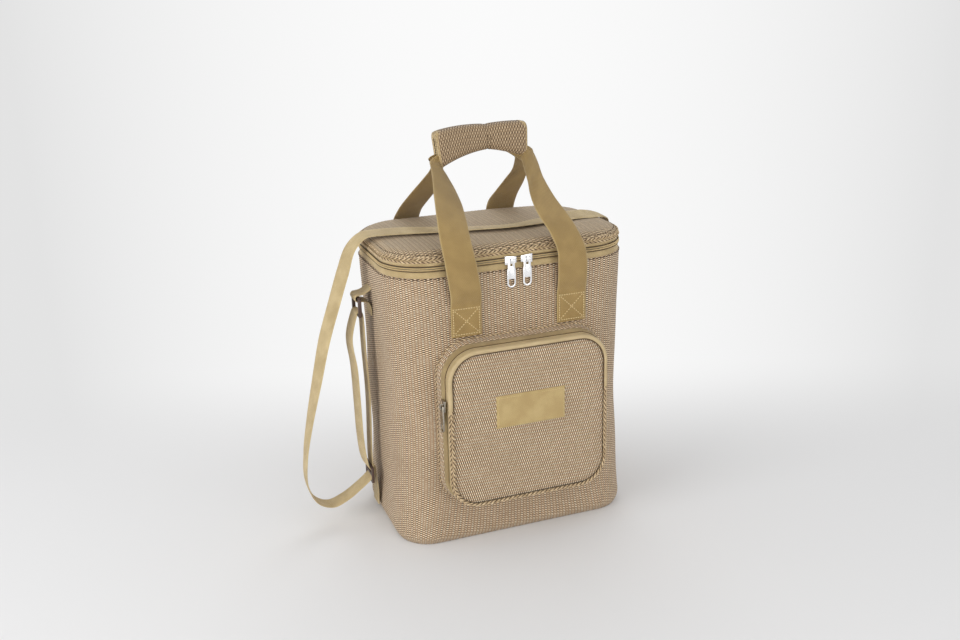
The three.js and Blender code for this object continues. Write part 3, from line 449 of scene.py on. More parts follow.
def crowned_sheet(name, half_x, half_y, radius, height, ribs, material, columns=4, rows=30):
    """A sheet that fills a rounded rectangle, ribbed along y, with height(x, y) as its surface."""
    x_line = np.linspace(-half_x, half_x, ribs * columns + 1)
    over = np.maximum(np.abs(x_line) - (half_x - radius), 0)
    y_edge = half_y - radius + np.sqrt(np.maximum(radius ** 2 - over ** 2, 0))
    t_line = np.sin(np.linspace(-math.pi / 2, math.pi / 2, rows))
    x = np.tile(x_line, (rows, 1))
    y = t_line[:, None] * y_edge[None, :]
    rib = np.sin(np.pi * (np.arange(ribs * columns + 1) % columns) / columns) - 0.5
    z = height(x, y) + RIB_RISE * rib[None, :]
    flat = np.stack([x + half_x, y + half_y], axis=-1)
    return cloth_object(name, np.stack([x, y, z], axis=-1), flat, material)


base = crowned_sheet("woven_base", BASE_HIGH.x, BASE_HIGH.y, BASE_CORNER,
                     lambda x, y: np.full_like(x, BASE_LIFT), BASE_RIBS, woven_upright)
settle(base, "bag", "body_weave", "base_panel")

# Insulation: sheets of closed-cell foam stand inside the wall, on the base and in the lid, hidden by the
# foil liner, which is a tub of silvery film with a khaki binding round its rim.
# Insets of the liner's two faces from the wall, in mm.
LINER_OUTER = 9.1
LINER_INNER = 10.1
# Heights of the liner's foot, floor and rim.
LINER_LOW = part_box("liner_tub")[0].z
LINER_FLOOR = LINER_LOW + 1 * MM
LINER_TOP = HEM - 1 * MM


def mottled(name, dark, light, relief, texture, kind="Noise", output="Fac", spread=None, gloss=None,
            **sockets):
    """A material whose colour and relief follow one texture on the object's own coordinates. Its colours
    can be spread over part of the texture's range, and its gloss can follow the texture too."""
    material, tree, shader = new_material(name, **sockets)
    place = add_node(tree, "ShaderNodeTexCoord").outputs["Object"]
    spots = add_node(tree, "ShaderNodeTex" + kind, {"Vector": place, **texture}).outputs[output]
    tone = rising(spots, *spread) if spread else spots
    tree.links.new(colour_mix(tone, dark, light), shader["Base Color"])
    if gloss:
        tree.links.new(scaled(spots, *gloss), shader["Roughness"])
    if relief:
        tree.links.new(bumped(spots, relief), shader["Normal"])
    return material


def dress(mesh, material):
    """Gives a mesh one material in place of its own."""
    mesh.materials.clear()
    mesh.materials.append(material)


def close_ends(piece, outwards=True):
    """Fills open ends and, if asked, makes every face point outwards."""
    shape = bmesh.new()
    shape.from_mesh(piece.data)
    bmesh.ops.holes_fill(shape, edges=[e for e in shape.edges if e.is_boundary])
    if outwards:
        bmesh.ops.recalc_face_normals(shape, faces=shape.faces)
    shape.to_mesh(piece.data)
    shape.free()


def level_loop(places, inset, z):
    """The wall's outline at a height, as points."""
    return np.column_stack([wall_outline(places, inset, z), np.full(len(places), z)])


foam_material = mottled("foam_sheet", colour(236, 234, 228), colour(214, 210, 202), 0.3 * MM,
                        {"Scale": 900.0}, "Voronoi", "Distance", Roughness=0.9)
for node in ("foam_wall", "foam_base"):
    dress(nodes[node].data, foam_material)

foil_material = mottled("foil_film", colour(168, 172, 176), colour(224, 226, 230), 3 * MM,
                        {"Scale": 38.0, "Detail": 5.0}, gloss=(0.35, 0.2), Metallic=0.85)
tub_places, tub_length = stations(160, HALF_WIDTH, HALF_DEPTH, CORNER)
tub_u = np.linspace(0, tub_length, len(tub_places) + 1)
tub_profile = [(LINER_OUTER, z) for z in np.linspace(LINER_LOW, LINER_TOP, 12)]
tub_profile += [(LINER_INNER, z) for z in np.linspace(LINER_TOP, LINER_FLOOR + 3 * MM, 12)]
tub_profile += [(LINER_INNER + 1, LINER_FLOOR + 1 * MM), (LINER_INNER + 4, LINER_FLOOR)]
tub_profile += [(inset, LINER_FLOOR) for inset in (30, 57)]
tub_rows = [level_loop(tub_places, inset * MM, z) for inset, z in tub_profile]
tub_map = flat_grid(tub_u, np.arange(len(tub_rows)) * 20 * MM)
tub = cloth_object("foil_tub", tub_rows, tub_map, foil_material, closed=True)
close_ends(tub, outwards=False)
settle(tub, "bag", "foil_liner", "liner_tub")

# Main zip: khaki tape above and below a nylon coil, from one rear corner round the front to the other. A
# strip of the woven cloth takes its place along the back and is the lid's hinge.
TAPE_FOOT, TAPE_TOP = [corner.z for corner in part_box("zip_tape_lower")]
UPPER_FOOT, UPPER_TOP = [corner.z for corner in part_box("zip_tape_upper")]
ZIP_HEIGHT = (TAPE_TOP + UPPER_FOOT) / 2
TAPE_INSET = 2.6 * MM
TAPE_LAP = 0.5 * MM
TAPE_THICK = 1.2 * MM
ZIP_START = (2 * (HALF_DEPTH - CORNER) + math.pi * CORNER / 2 + 2 * (HALF_WIDTH - CORNER)) / wall_length
ZIP_SHARE = 1 - 2 * (HALF_WIDTH - CORNER) / wall_length
ZIP_STEPS = 240
COIL_PITCH = 1.5 * MM
COIL_RADIUS = 1.0 * MM
COIL_INSET = 0.9 * MM
COIL_RISE = 1.1 * MM
GROOVE_RISE = 1.75 * MM
GROOVE_RADIUS = 0.42 * MM
TUBE_STEP = 4 * MM
HINGE_LOW, HINGE_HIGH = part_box("hinge_strip_lower")
HINGE_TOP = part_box("hinge_strip_upper")[1].z
HINGE_COLUMNS = 40
HINGE_ROWS = 25
HINGE_BULGE = 1.2 * MM
HINGE_THICK = 1.0 * MM
HINGE_BEND = 6 * MM
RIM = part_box("rim_binding")[1].z
THREAD_SHADE = 0.12
CLOUD_SPAN = (0.25, 0.8)
SELVEDGE = (1.6 * MM, 0.9 * MM)
SELVEDGE_SHARE = 0.3
SELVEDGE_COLOUR = colour(206, 186, 138)

twill, given, result = new_group(
    "khaki twill", {"Map": "Vector", "Thread": "Float", "Light": "Color", "Dark": "Color"})
flat = add_node(twill, "ShaderNodeSeparateXYZ", {0: given["Map"]}).outputs
turns = [calc("DIVIDE", part, given["Thread"]) for part in flat[:2]]
waves = [calc("SINE", calc("MULTIPLY", part, 2 * math.pi)) for part in turns]
ridges = calc("SINE", calc("MULTIPLY", calc("ADD", turns[0], turns[1]), math.pi))
threads = calc("ADD", calc("MULTIPLY", waves[0], waves[1]), ridges)
worn = add_node(twill, "ShaderNodeTexNoise", {"Vector": given["Map"], "Scale": 45.0, "Detail": 6.0})
cloudy = scaled(threads, THREAD_SHADE, worn.outputs["Fac"])
tape_colour = colour_mix(rising(cloudy, *CLOUD_SPAN), given["Dark"], given["Light"])
twill.links.new(tape_colour, result["Color"])
twill.links.new(threads, result["Height"])


def twill_material(name, thread, light, dark, relief=0.12 * MM, edge_width=None):
    """Twilled khaki cloth or webbing on a piece's flat map, with paler selvedges if it has an edge width."""
    material, tree, shader = new_material(name, Roughness=0.62, Sheen_Weight=0.18, Sheen_Roughness=0.4)
    flat_map = add_node(tree, "ShaderNodeUVMap", uv_map="cloth").outputs[0]
    sockets = {"Map": flat_map, "Thread": thread, "Light": light, "Dark": dark}
    cloth = add_node(tree, "ShaderNodeGroup", sockets, node_tree=twill).outputs
    finish = cloth["Color"]
    if edge_width:
        across = add_node(tree, "ShaderNodeSeparateXYZ", {0: flat_map}).outputs[0]
        from_middle = calc("ABSOLUTE", across)
        selvedge = rising(from_middle, *(edge_width - inset for inset in SELVEDGE))
        finish = colour_mix(calc("MULTIPLY", selvedge, SELVEDGE_SHARE), finish, SELVEDGE_COLOUR)
    tree.links.new(finish, shader["Base Color"])
    tree.links.new(bumped(cloth["Height"], relief), shader["Normal"])
    return material


def band(name, rings, section, u_line, material, looped):
    """A band whose closed section, a list of pairs, is swept round rings of points, one ring to each pair."""
    v_line = measured(np.array([*section, section[0]]))
    flat = np.stack(np.meshgrid(u_line, v_line, indexing="ij"), axis=-1)
    points = np.stack(rings, axis=1)
    made = cloth_object(name, points, flat, material, closed=True, looped=looped, inward=True)
    close_ends(made)
    return made


def wall_band(name, places, section, u_line, material, looped=False):
    """A band with a section of (inset, height) pairs, swept along places on the wall's outline."""
    rings = [level_loop(places, inset, z) for inset, z in section]
    return band(name, rings, section, u_line, material, looped)


def bulged(low, high, inset, bulge, thick, steps=7):
    """A band's section: a rounded outer face from low to high, and a flat inner one."""
    outer = [(inset - bulge * math.sin(math.pi * k / (steps - 1)), low + (high - low) * k / (steps - 1))
             for k in range(steps)]
    return [*outer, (inset + thick, high), (inset + thick, low)]


tape_material = twill_material("zip_tape_twill", 0.9 * MM, colour(212, 188, 140), colour(177, 152, 105))
zip_places, _ = stations(ZIP_STEPS, HALF_WIDTH, HALF_DEPTH, CORNER, ZIP_START, ZIP_SHARE, closed=False)
zip_u = np.linspace(0, ZIP_SHARE * wall_length, ZIP_STEPS)
for name, low, high, bulge, body in (("lower", TAPE_FOOT, TAPE_TOP + TAPE_LAP, 1.5 * MM, "bag"),
                                     ("upper", UPPER_FOOT - TAPE_LAP, UPPER_TOP, 1.3 * MM, "lid")):
    section = bulged(low, high, TAPE_INSET, bulge, TAPE_THICK)
    tape = wall_band(f"{name}_zip_tape", zip_places, section, zip_u, tape_material)
    settle(tape, body, "zip_tape", f"zip_tape_{name}")


def path_tree(name, sizes, counts, spacing):
    """The head of a tree that grows a piece along a path: its sockets, and the path cut into even steps."""
    tree = bpy.data.node_groups.new(name, "GeometryNodeTree")
    kinds = [("Path", "Geometry"), *((size, "Float") for size in sizes),
             *((count, "Int") for count in counts), ("Finish", "Material")]
    for socket, kind in kinds:
        tree.interface.new_socket(socket, in_out="INPUT", socket_type="NodeSocket" + kind)
    tree.interface.new_socket("Grown", in_out="OUTPUT", socket_type="NodeSocketGeometry")
    given = tree.nodes.new("NodeGroupInput").outputs
    line = add_node(tree, "GeometryNodeMeshToCurve", {"Mesh": given["Path"]}).outputs[0]
    sockets = {"Curve": line, "Length": given[spacing]}
    even = add_node(tree, "GeometryNodeResampleCurve", sockets, mode="LENGTH").outputs[0]
    return tree, given, even


def end_tree(tree, given, shape):
    """The foot of such a tree: its shape made smooth and real, and given its material."""
    real = add_node(tree, "GeometryNodeRealizeInstances", {0: shape}).outputs[0]
    smooth = add_node(tree, "GeometryNodeSetShadeSmooth", {0: real}).outputs[0]
    finish = {"Geometry": smooth, "Material": given["Finish"]}
    dressed = add_node(tree, "GeometryNodeSetMaterial", finish).outputs[0]
    tree.links.new(dressed, tree.nodes.new("NodeGroupOutput").inputs[0])
    return tree


def vector_calc(operation, inputs):
    """One step of arithmetic on vectors, in the node tree of the first."""
    return add_node(inputs[0].id_data, "ShaderNodeVectorMath", inputs, operation=operation).outputs[0]


def rope_lay_tree():
    """The lay of a rope, a bead or a coil: yarns that wind round a path at a steady pitch."""
    sizes = ("Pitch", "Lay Radius", "Yarn Radius", "Step")
    tree, given, even = path_tree("rope lay", sizes, ("Yarns",), "Step")
    copies = add_node(tree, "GeometryNodeDuplicateElements", {"Geometry": even, "Amount": given["Yarns"]},
                      domain="SPLINE").outputs
    run = add_node(tree, "GeometryNodeSplineParameter").outputs["Length"]
    turns = calc("ADD", calc("DIVIDE", run, given["Pitch"]),
                 calc("DIVIDE", copies["Duplicate Index"], given["Yarns"]))
    angle = calc("MULTIPLY", turns, 2 * math.pi)
    normal = add_node(tree, "GeometryNodeInputNormal").outputs[0]
    tangent = add_node(tree, "GeometryNodeInputTangent").outputs[0]
    binormal = vector_calc("CROSS_PRODUCT", {0: tangent, 1: normal})
    sway = []
    for direction, wave in ((normal, "COSINE"), (binormal, "SINE")):
        reach = calc("MULTIPLY", calc(wave, angle), given["Lay Radius"])
        sway.append(vector_calc("SCALE", {0: direction, "Scale": reach}))
    offset = vector_calc("ADD", {0: sway[0], 1: sway[1]})
    wound = add_node(tree, "GeometryNodeSetPosition", {"Geometry": copies[0], "Offset": offset}).outputs[0]
    round_yarn = {"Resolution": 6, "Radius": given["Yarn Radius"]}
    ring = add_node(tree, "GeometryNodeCurvePrimitiveCircle", round_yarn).outputs[0]
    sockets = {"Curve": wound, "Profile Curve": ring, "Fill Caps": True}
    return end_tree(tree, given, add_node(tree, "GeometryNodeCurveToMesh", sockets).outputs[0])


def baked(name, source):
    """The mesh that an object's modifiers make, as a plain piece in place of that object."""
    bpy.context.view_layer.update()
    evaluated = source.evaluated_get(bpy.context.evaluated_depsgraph_get())
    mesh = bpy.data.meshes.new_from_object(evaluated)
    mesh.name = name
    bpy.data.objects.remove(source)
    return placed(name, mesh)


def grown(name, paths, tree, **sizes):
    """Runs a tree on lines and keeps its result as a plain mesh. A path is its points and whether it
    closes."""
    points, edges = [], []
    for path, closed in paths:
        first = len(points)
        points += [tuple(p) for p in path]
        edges += [(first + i, first + i + 1) for i in range(len(path) - 1)]
        if closed:
            edges.append((len(points) - 1, first))
    lines = bpy.data.meshes.new(name + "_path")
    lines.from_pydata(points, edges, [])
    source = placed(name + "_path", lines)
    modifier = source.modifiers.new("growth", "NODES")
    modifier.node_group = tree
    for item in tree.interface.items_tree:
        key = item.name.replace(" ", "_")
        if item.in_out == "INPUT" and key in sizes:
            modifier[item.identifier] = sizes[key]
    return baked(name, source)


rope_lay = rope_lay_tree()


def rope(name, points, closed, radius, yarns, pitch, material, steps_per_turn=8, turn=1, fill=0.56):
    """A laid rope along a path. Its pitch is fitted so that a closed rope meets itself."""
    length = measured(np.vstack([points, points[:1]]) if closed else points)[-1]
    fitted = length / max(1, round(length / pitch))
    yarn_radius = radius * fill
    return grown(name, [(points, closed)], rope_lay, Pitch=turn * fitted, Lay_Radius=radius - yarn_radius,
                 Yarn_Radius=yarn_radius, Step=fitted / steps_per_turn, Yarns=yarns, Finish=material)


def tube(name, points, closed, radius, material):
    """A plain round cord along a path."""
    return grown(name, [(points, closed)], rope_lay, Pitch=1.0, Lay_Radius=0.0, Yarn_Radius=radius,
                 Step=TUBE_STEP, Yarns=1, Finish=material)


coil_material = mottled("nylon_coil", colour(182, 158, 112), colour(222, 198, 150), None, {"Scale": 300.0},
                        Roughness=0.45)
# Dark thread for the real stitches, also used for the dark cords that are painted shade in grooves, in
# crevices and inside the plaits.
dark_thread = mottled("dark_thread", colour(62, 46, 30), colour(104, 82, 56), 0.1 * MM, {"Scale": 500.0},
                      Roughness=0.8)
for name, away, body in (("lower", -1, "bag"), ("upper", 1, "lid")):
    line = level_loop(zip_places, COIL_INSET, ZIP_HEIGHT + away * COIL_RISE)
    coil = rope(f"{name}_coil", line, False, COIL_RADIUS, 1, COIL_PITCH, coil_material, 6)
    settle(coil, body, "zip_coil", f"zip_coil_{name}")
    # A thin dark cord in the groove between each coil and its tape is painted shade.
    seam = line + np.array([0, 0, away * GROOVE_RISE])
    settle(tube(f"{name}_coil_groove", seam, False, GROOVE_RADIUS, dark_thread), body, "zip_coil")


def stretch(piece, first_body, last_body, start, end, slot, *stands_for):
    """Bakes a finished piece's place into its mesh and hides the nodes that it stands for. Its bodies, points
    and slot are not used."""
    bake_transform(piece)
    if stands_for:
        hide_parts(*stands_for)


hinge_x = np.linspace(HINGE_LOW.x - 1 * MM, HINGE_HIGH.x + 1 * MM, HINGE_COLUMNS)
hinge_z = np.linspace(HINGE_LOW.z, HINGE_TOP, HINGE_ROWS)
hinge_out = HINGE_HIGH.y + HINGE_BULGE * np.sin(np.linspace(0, math.pi, HINGE_ROWS))
grid_x, grid_z = np.meshgrid(hinge_x, hinge_z)
faces = [np.stack([grid_x, np.tile((hinge_out - thick)[:, None], (1, HINGE_COLUMNS)), grid_z], axis=-1)
         for thick in (0, HINGE_THICK)]
section = np.concatenate([faces[0], faces[1][::-1]])
section_v = np.concatenate([hinge_z, hinge_z[::-1], hinge_z[:1]])
hinge = cloth_object("hinge_cloth", section, flat_grid(hinge_x, section_v), woven_upright, looped=True)
close_ends(hinge)
stretch(hinge, "bag", "lid",
        (0, HALF_DEPTH, ZIP_HEIGHT - HINGE_BEND), (0, HALF_DEPTH, ZIP_HEIGHT + HINGE_BEND),
        "body_weave", "hinge_strip_lower", "hinge_strip_upper")

rim_section = [(4.2 * MM, HEM), (4.4 * MM, RIM - 0.4 * MM), (5.5 * MM, RIM), (8.8 * MM, RIM),
               (9.9 * MM, RIM - 0.4 * MM), (10.3 * MM, HEM - 6 * MM), (9.9 * MM, HEM - 6 * MM),
               (9.2 * MM, HEM)]
binding = wall_band("rim_tape", tub_places, rim_section, tub_u, tape_material, looped=True)
settle(binding, "bag", "zip_tape", "rim_binding")


# Hem: the lower zip tape is sewn to the top of the wall by a row of dark sunken stitches, a little more
# than a rib apart.
HEM_STITCH = (5, 3.6, 1.5)


def stitch_tree():
    """A run of stitches: short beads laid end to end along a path."""
    tree, given, even = path_tree("run of stitches", ("Spacing", "Length", "Thread"), (), "Spacing")
    bead = add_node(tree, "GeometryNodeMeshUVSphere", {"Segments": 6, "Rings": 5, "Radius": 0.5}).outputs[0]
    sides = {0: given["Length"], 1: given["Thread"], 2: given["Thread"]}
    size = add_node(tree, "ShaderNodeCombineXYZ", sides)
    tangent = add_node(tree, "GeometryNodeInputTangent").outputs[0]
    aim = add_node(tree, "FunctionNodeAlignRotationToVector", {"Vector": tangent}, axis="X").outputs[0]
    sockets = {"Points": even, "Instance": bead, "Rotation": aim, "Scale": size.outputs[0]}
    return end_tree(tree, given, add_node(tree, "GeometryNodeInstanceOnPoints", sockets).outputs[0])


stitches = stitch_tree()


def sewn(name, paths, spacing, length, thread, material):
    """Runs of stitches along paths, with their spacing, length and thickness in mm."""
    return grown(name, paths, stitches, Spacing=spacing * MM, Length=length * MM, Thread=thread * MM,
                 Finish=material)


edge_places, _ = stations(320, HALF_WIDTH, HALF_DEPTH, CORNER)
hem_line = level_loop(edge_places, -0.1 * MM, HEM - 0.9 * MM)
settle(sewn("hem_stitches", [(hem_line, True)], *HEM_STITCH, dark_thread), "bag", "zip_coil")

# Lid: a crowned woven top on foam, ribbed from front to back, with a foil underside. A plaited double bead
# runs round its edge above the zip, and it has sunk a little towards its right rear corner.
LID_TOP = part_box("lid_panel")[1].z
LID_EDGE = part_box("lid_foam")[1].z
LID_FOOT = LID_EDGE - 4.2 * MM
LID_INSET = 3.9 * MM
LID_SHOULDER = 10 * MM
LID_CROWN = 50 * MM
LID_SAG = 4.5 * MM
LID_RIBS = 61
LID_STEEP = 0.65
LID_CLEAR = 0.6 * MM
LID_WAVE = 0.35 * MM
LID_WAVES = (46, 60)
LID_STITCH = (4.4, 3.4, 1.1)
SAG_START = (40 * MM, -20 * MM)
SAG_SPAN = 110 * MM
PLAIT_FILL = 0.47
CORE_SHARE = 0.62
# The lid weave's colours, with the same painted highlight and painted shade.
LID_COLOURS = {"Pale_highlight": colour(230, 206, 168), "Straw": colour(196, 170, 132), "Pit_shade": colour(66, 48, 30)}
BEAD_HEIGHT = sum(corner.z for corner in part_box("lid_piping")) / 2
BEAD_RADIUS = 2.0 * MM
BEAD_PITCH = 11 * MM
PAD_SHARE_X = 0.96
PAD_SHARE_Y = 0.94
SEAM_INSET = 6.6 * MM
FOIL_LOW, FOIL_HIGH = [corner.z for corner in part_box("lid_liner")]
FOIL_MIDDLE = 55 * MM
bead_material = mottled("twisted_straw", colour(160, 134, 98), colour(212, 188, 150), 0.4 * MM,
                        {"Scale": 260.0, "Detail": 4.0}, spread=(0.3, 0.7), Roughness=0.7, Sheen_Weight=0.1)


def plait(name, points, closed, radius, pitch, turn, body, *stands_for):
    """One cord of a plait, with open turns round a dark core that is painted shade in the gaps between turns,
    and that core.
    """
    cord = rope(name, points, closed, radius, 2, pitch, bead_material, turn=turn, fill=PLAIT_FILL)
    core = tube(name + "_core", points, closed, radius * CORE_SHARE, dark_thread)
    settle(cord, body, "piping_weave", *stands_for)
    settle(core, body, "piping_weave")


def lid_sag(x, y):
    """How far the lid has sunk towards its right rear corner."""
    share_x = np.clip((x - SAG_START[0]) / SAG_SPAN, 0, 1)
    share_y = np.clip((y - SAG_START[1]) / SAG_SPAN, 0, 1)
    return LID_SAG * share_x * share_y


def from_rim(x, y, half_x, half_y, radius, inset):
    """How far places lie inside the inset edge of a rounded rectangle."""
    out_x = np.maximum(np.abs(x) - (half_x - radius), 0)
    out_y = np.maximum(np.abs(y) - (half_y - radius), 0)
    return radius - np.hypot(out_x, out_y) - inset


def soft_rise(from_edge, shoulder, crown, steep):
    """A soft panel's rise from its edge, 0 to 1: steep over its shoulder, then gently crowned."""
    shoulder_rise = np.sqrt(np.clip(from_edge / shoulder, 0, 1))
    crown_rise = np.sin(np.clip(from_edge / crown, 0, 1) * math.pi / 2)
    return steep * shoulder_rise + (1 - steep) * crown_rise


def lid_surface(x, y):
    """The lid's top: low under the bead, then crowned, with slight waves."""
    from_edge = from_rim(x, y, HALF_WIDTH, HALF_DEPTH, CORNER, LID_INSET)
    wave = LID_WAVE * np.sin(x * LID_WAVES[0]) * np.sin(y * LID_WAVES[1] + 1)
    wave = wave * np.clip(from_edge / LID_SHOULDER, 0, 1)
    rise = (LID_TOP - LID_FOOT - LID_CLEAR) * soft_rise(from_edge, LID_SHOULDER, LID_CROWN, LID_STEEP)
    return LID_FOOT + rise + wave - lid_sag(x, y)


for name, inset, z, turn, *stands_for in (("lid_bead_low", 1.7, -6.8, 1),
                                          ("lid_bead_high", 2.7, -3.4, -1, "lid_piping")):
    bead_line = level_loop(edge_places, inset * MM, BEAD_HEIGHT + z * MM)
    bead_line[:, 2] -= lid_sag(bead_line[:, 0], bead_line[:, 1])
    plait(name, bead_line, True, BEAD_RADIUS, BEAD_PITCH, turn, "lid", *stands_for)

lid_weave = woven_material("lid_weave", 1.3 * RIB, 3.4 * MM, 0.0, 0.4 * MM, LID_COLOURS, furrow=0.7)
lid_top = crowned_sheet("lid_top", HALF_WIDTH - LID_INSET, HALF_DEPTH - LID_INSET, CORNER - LID_INSET,
                        lid_surface, LID_RIBS, lid_weave, rows=48)
settle(lid_top, "lid", "body_weave", "lid_panel")
lid_pad = placed("lid_pad", nodes["lid_foam"].data.copy())
dress(lid_pad.data, foam_material)
for vertex in lid_pad.data.vertices:
    vertex.co.x *= PAD_SHARE_X
    vertex.co.y *= PAD_SHARE_Y
    if vertex.co.z > LID_EDGE - 1 * MM:
        vertex.co.z -= float(lid_sag(vertex.co.x, vertex.co.y))
settle(lid_pad, "lid", "foam", "lid_foam")
seam_line = level_loop(edge_places, SEAM_INSET, LID_EDGE)
seam_line[:, 2] = lid_surface(seam_line[:, 0], seam_line[:, 1]) + 0.1 * MM
settle(sewn("lid_seam", [(seam_line, True)], *LID_STITCH, dark_thread), "lid", "zip_coil")

foil_section = [(4.2 * MM, FOIL_HIGH), (4.0 * MM, FOIL_LOW + 0.3 * MM), (5 * MM, FOIL_LOW),
                (30 * MM, FOIL_LOW), (57 * MM, FOIL_LOW), (57 * MM, FOIL_HIGH)]
lid_foil = wall_band("lid_foil", tub_places, foil_section, tub_u, foil_material, looped=True)
lid_foil.data.set_sharp_from_angle(angle=math.radians(50))
settle(lid_foil, "lid", "foil_liner", "lid_liner")
foil_middle = crowned_sheet("lid_foil_middle", HALF_WIDTH - FOIL_MIDDLE, HALF_DEPTH - FOIL_MIDDLE, 4 * MM,
                            lambda x, y: np.full_like(x, FOIL_LOW + 0.15 * MM), 40, foil_material, columns=1)
settle(foil_middle, "lid", "foil_liner")

# Front pocket: a woven front with level ribs and slanting stitches, set forward on a gusset. The gusset is
# woven where it is sewn to the wall and khaki tape beside the pocket's own zip, and a plaited bead edges it.
# Above the zip's foot the edge is rolled tape instead, where the pocket opens; its front is built shut.
POCKET_CENTRE = 160 * MM
POCKET_HALF = (100 * MM, 98 * MM)
POCKET_CORNER = 35 * MM
POCKET_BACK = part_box("pocket_gusset")[1].y
CROWN_TOP, POCKET_FRONT = [corner.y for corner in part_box("pocket_front_lower")]
POCKET_FLARE = 6 * MM
POCKET_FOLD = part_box("pocket_front_upper")[0].z
POCKET_ZIP = -119 * MM
GUSSET_FRONT = -108.5 * MM
POCKET_TAPE_BACK = -108 * MM
POCKET_TAPE_GAP = 1.1 * MM
POCKET_CLOTH = 1.6 * MM
WOVEN_FOOT = POCKET_CENTRE - POCKET_HALF[1] + 12 * MM
ZIP_FOOT = 186 * MM
POCKET_COIL_RADIUS = 0.75 * MM
POCKET_COIL_RISE = 0.55 * MM
FOLDING = ("bag", "pocket_flap",
           (0, POCKET_FRONT, POCKET_FOLD - 5 * MM), (0, POCKET_FRONT, POCKET_FOLD + 11 * MM))
FRONT_INSET = 3.2 * MM
FRONT_SHOULDER = 7 * MM
FRONT_CROWN = 32 * MM
FRONT_RIBS = 48
FRONT_STEEP = 0.62
FRONT_CLEAR = 0.4 * MM
PANEL_EDGE = POCKET_FRONT - 1.2 * MM
pocket_places, pocket_length = stations(240, *POCKET_HALF, POCKET_CORNER)
pocket_u = np.linspace(0, pocket_length, len(pocket_places) + 1)


def pocket_loop(y, inset=0.0):
    """The pocket's outline on the plane y, wider towards the wall."""
    flare = POCKET_FLARE * np.clip((y - POCKET_FRONT) / (POCKET_BACK - POCKET_FRONT), 0, 1) - inset
    outline = on_outline(pocket_places, POCKET_HALF[0] + flare, POCKET_HALF[1] + flare, POCKET_CORNER + flare)
    return np.column_stack([outline[:, 0], np.full(len(outline), y), POCKET_CENTRE + outline[:, 1]])


def pocket_band(name, low, high, bulge, material, foot_material=None):
    """A band round the pocket between two planes, rounded outside and flat inside. It can have another
    material along the bottom."""
    outer = [(low + (high - low) * k / 4, -bulge * math.sin(math.pi * k / 4)) for k in range(5)]
    section = [*outer, (high, POCKET_CLOTH), (low, POCKET_CLOTH)]
    made = band(name, [pocket_loop(y, inset) for y, inset in section], section, pocket_u, material, True)
    if foot_material:
        made.data.materials.append(foot_material)
        for face in made.data.polygons:
            face.material_index = int(face.center.z < WOVEN_FOOT)
    return made


def pocket_run(y, inset, upper):
    """The part of a pocket loop beside its zip, or the rest of it."""
    loop = pocket_loop(y, inset)
    first = int(np.argmin(np.abs(loop[:, 0]) + loop[:, 2] * (1 if upper else -1)))
    loop = np.roll(loop, -first, axis=0)
    return loop[loop[:, 2] > ZIP_FOOT] if upper else loop[loop[:, 2] < ZIP_FOOT + 4 * MM]


def pocket_surface(across, up):
    """How far forward the pocket's front stands: low beside the bead, then crowned."""
    from_edge = from_rim(across, up, POCKET_HALF[1], POCKET_HALF[0], POCKET_CORNER, FRONT_INSET)
    rise = soft_rise(from_edge, FRONT_SHOULDER, FRONT_CROWN, FRONT_STEEP)
    return -PANEL_EDGE + (PANEL_EDGE - CROWN_TOP - FRONT_CLEAR) * rise


gusset = pocket_band("pocket_gusset_weave", POCKET_BACK + 2 * MM, GUSSET_FRONT, 0.8 * MM, woven_upright)
settle(gusset, "bag", "body_weave", "pocket_gusset")
# The pocket's back tape is a darker copy of the zip tape: painted shade for the recess it lies in behind the
# front tape.
shaded_pocket_tape = twill_material("pocket_tape_twill", 0.9 * MM, colour(182, 158, 110), colour(150, 126, 82))
back_tape = pocket_band("pocket_back_tape", POCKET_TAPE_BACK, POCKET_ZIP + POCKET_TAPE_GAP, 0.5 * MM,
                        shaded_pocket_tape, woven_upright)
settle(back_tape, "bag", "zip_tape", "pocket_zip_tape_inner")
front_tape = pocket_band("pocket_front_tape", POCKET_ZIP - POCKET_TAPE_GAP, POCKET_FRONT, 0.5 * MM,
                         tape_material, woven_upright)
stretch(front_tape, *FOLDING, "zip_tape", "pocket_zip_tape_outer")

pocket_coils = [rope(name, pocket_run(POCKET_ZIP + away * POCKET_COIL_RISE, 0.3 * MM, True), False,
                     POCKET_COIL_RADIUS, 1, COIL_PITCH, coil_material, 6)
                for name, away in (("pocket_back_coil", 1), ("pocket_front_coil", -1))]
settle(pocket_coils[0], "bag", "zip_coil")
stretch(pocket_coils[1], *FOLDING, "zip_coil")
# A thin dark cord in the gap between the pocket zip's coils is painted shade.
pocket_groove = tube("pocket_groove", pocket_run(POCKET_ZIP, -0.35 * MM, True), False, 0.55 * MM, dark_thread)
settle(pocket_groove, "bag", "zip_coil")

for name, forward, inset, turn, *stands_for in (("pocket_bead_back", 0.4, -0.4, 1, "pocket_piping_lower"),
                                                ("pocket_bead_front", 3.6, 1.6, -1)):
    bead_line = pocket_run(POCKET_FRONT - forward * MM, inset * MM, False)
    plait(name, bead_line, False, 2.1 * MM, 12 * MM, turn, "bag", *stands_for)
plait("pocket_foot_bead", pocket_loop(POCKET_BACK - 1 * MM, -0.6 * MM), True, 1.7 * MM, BEAD_PITCH, 1, "bag")

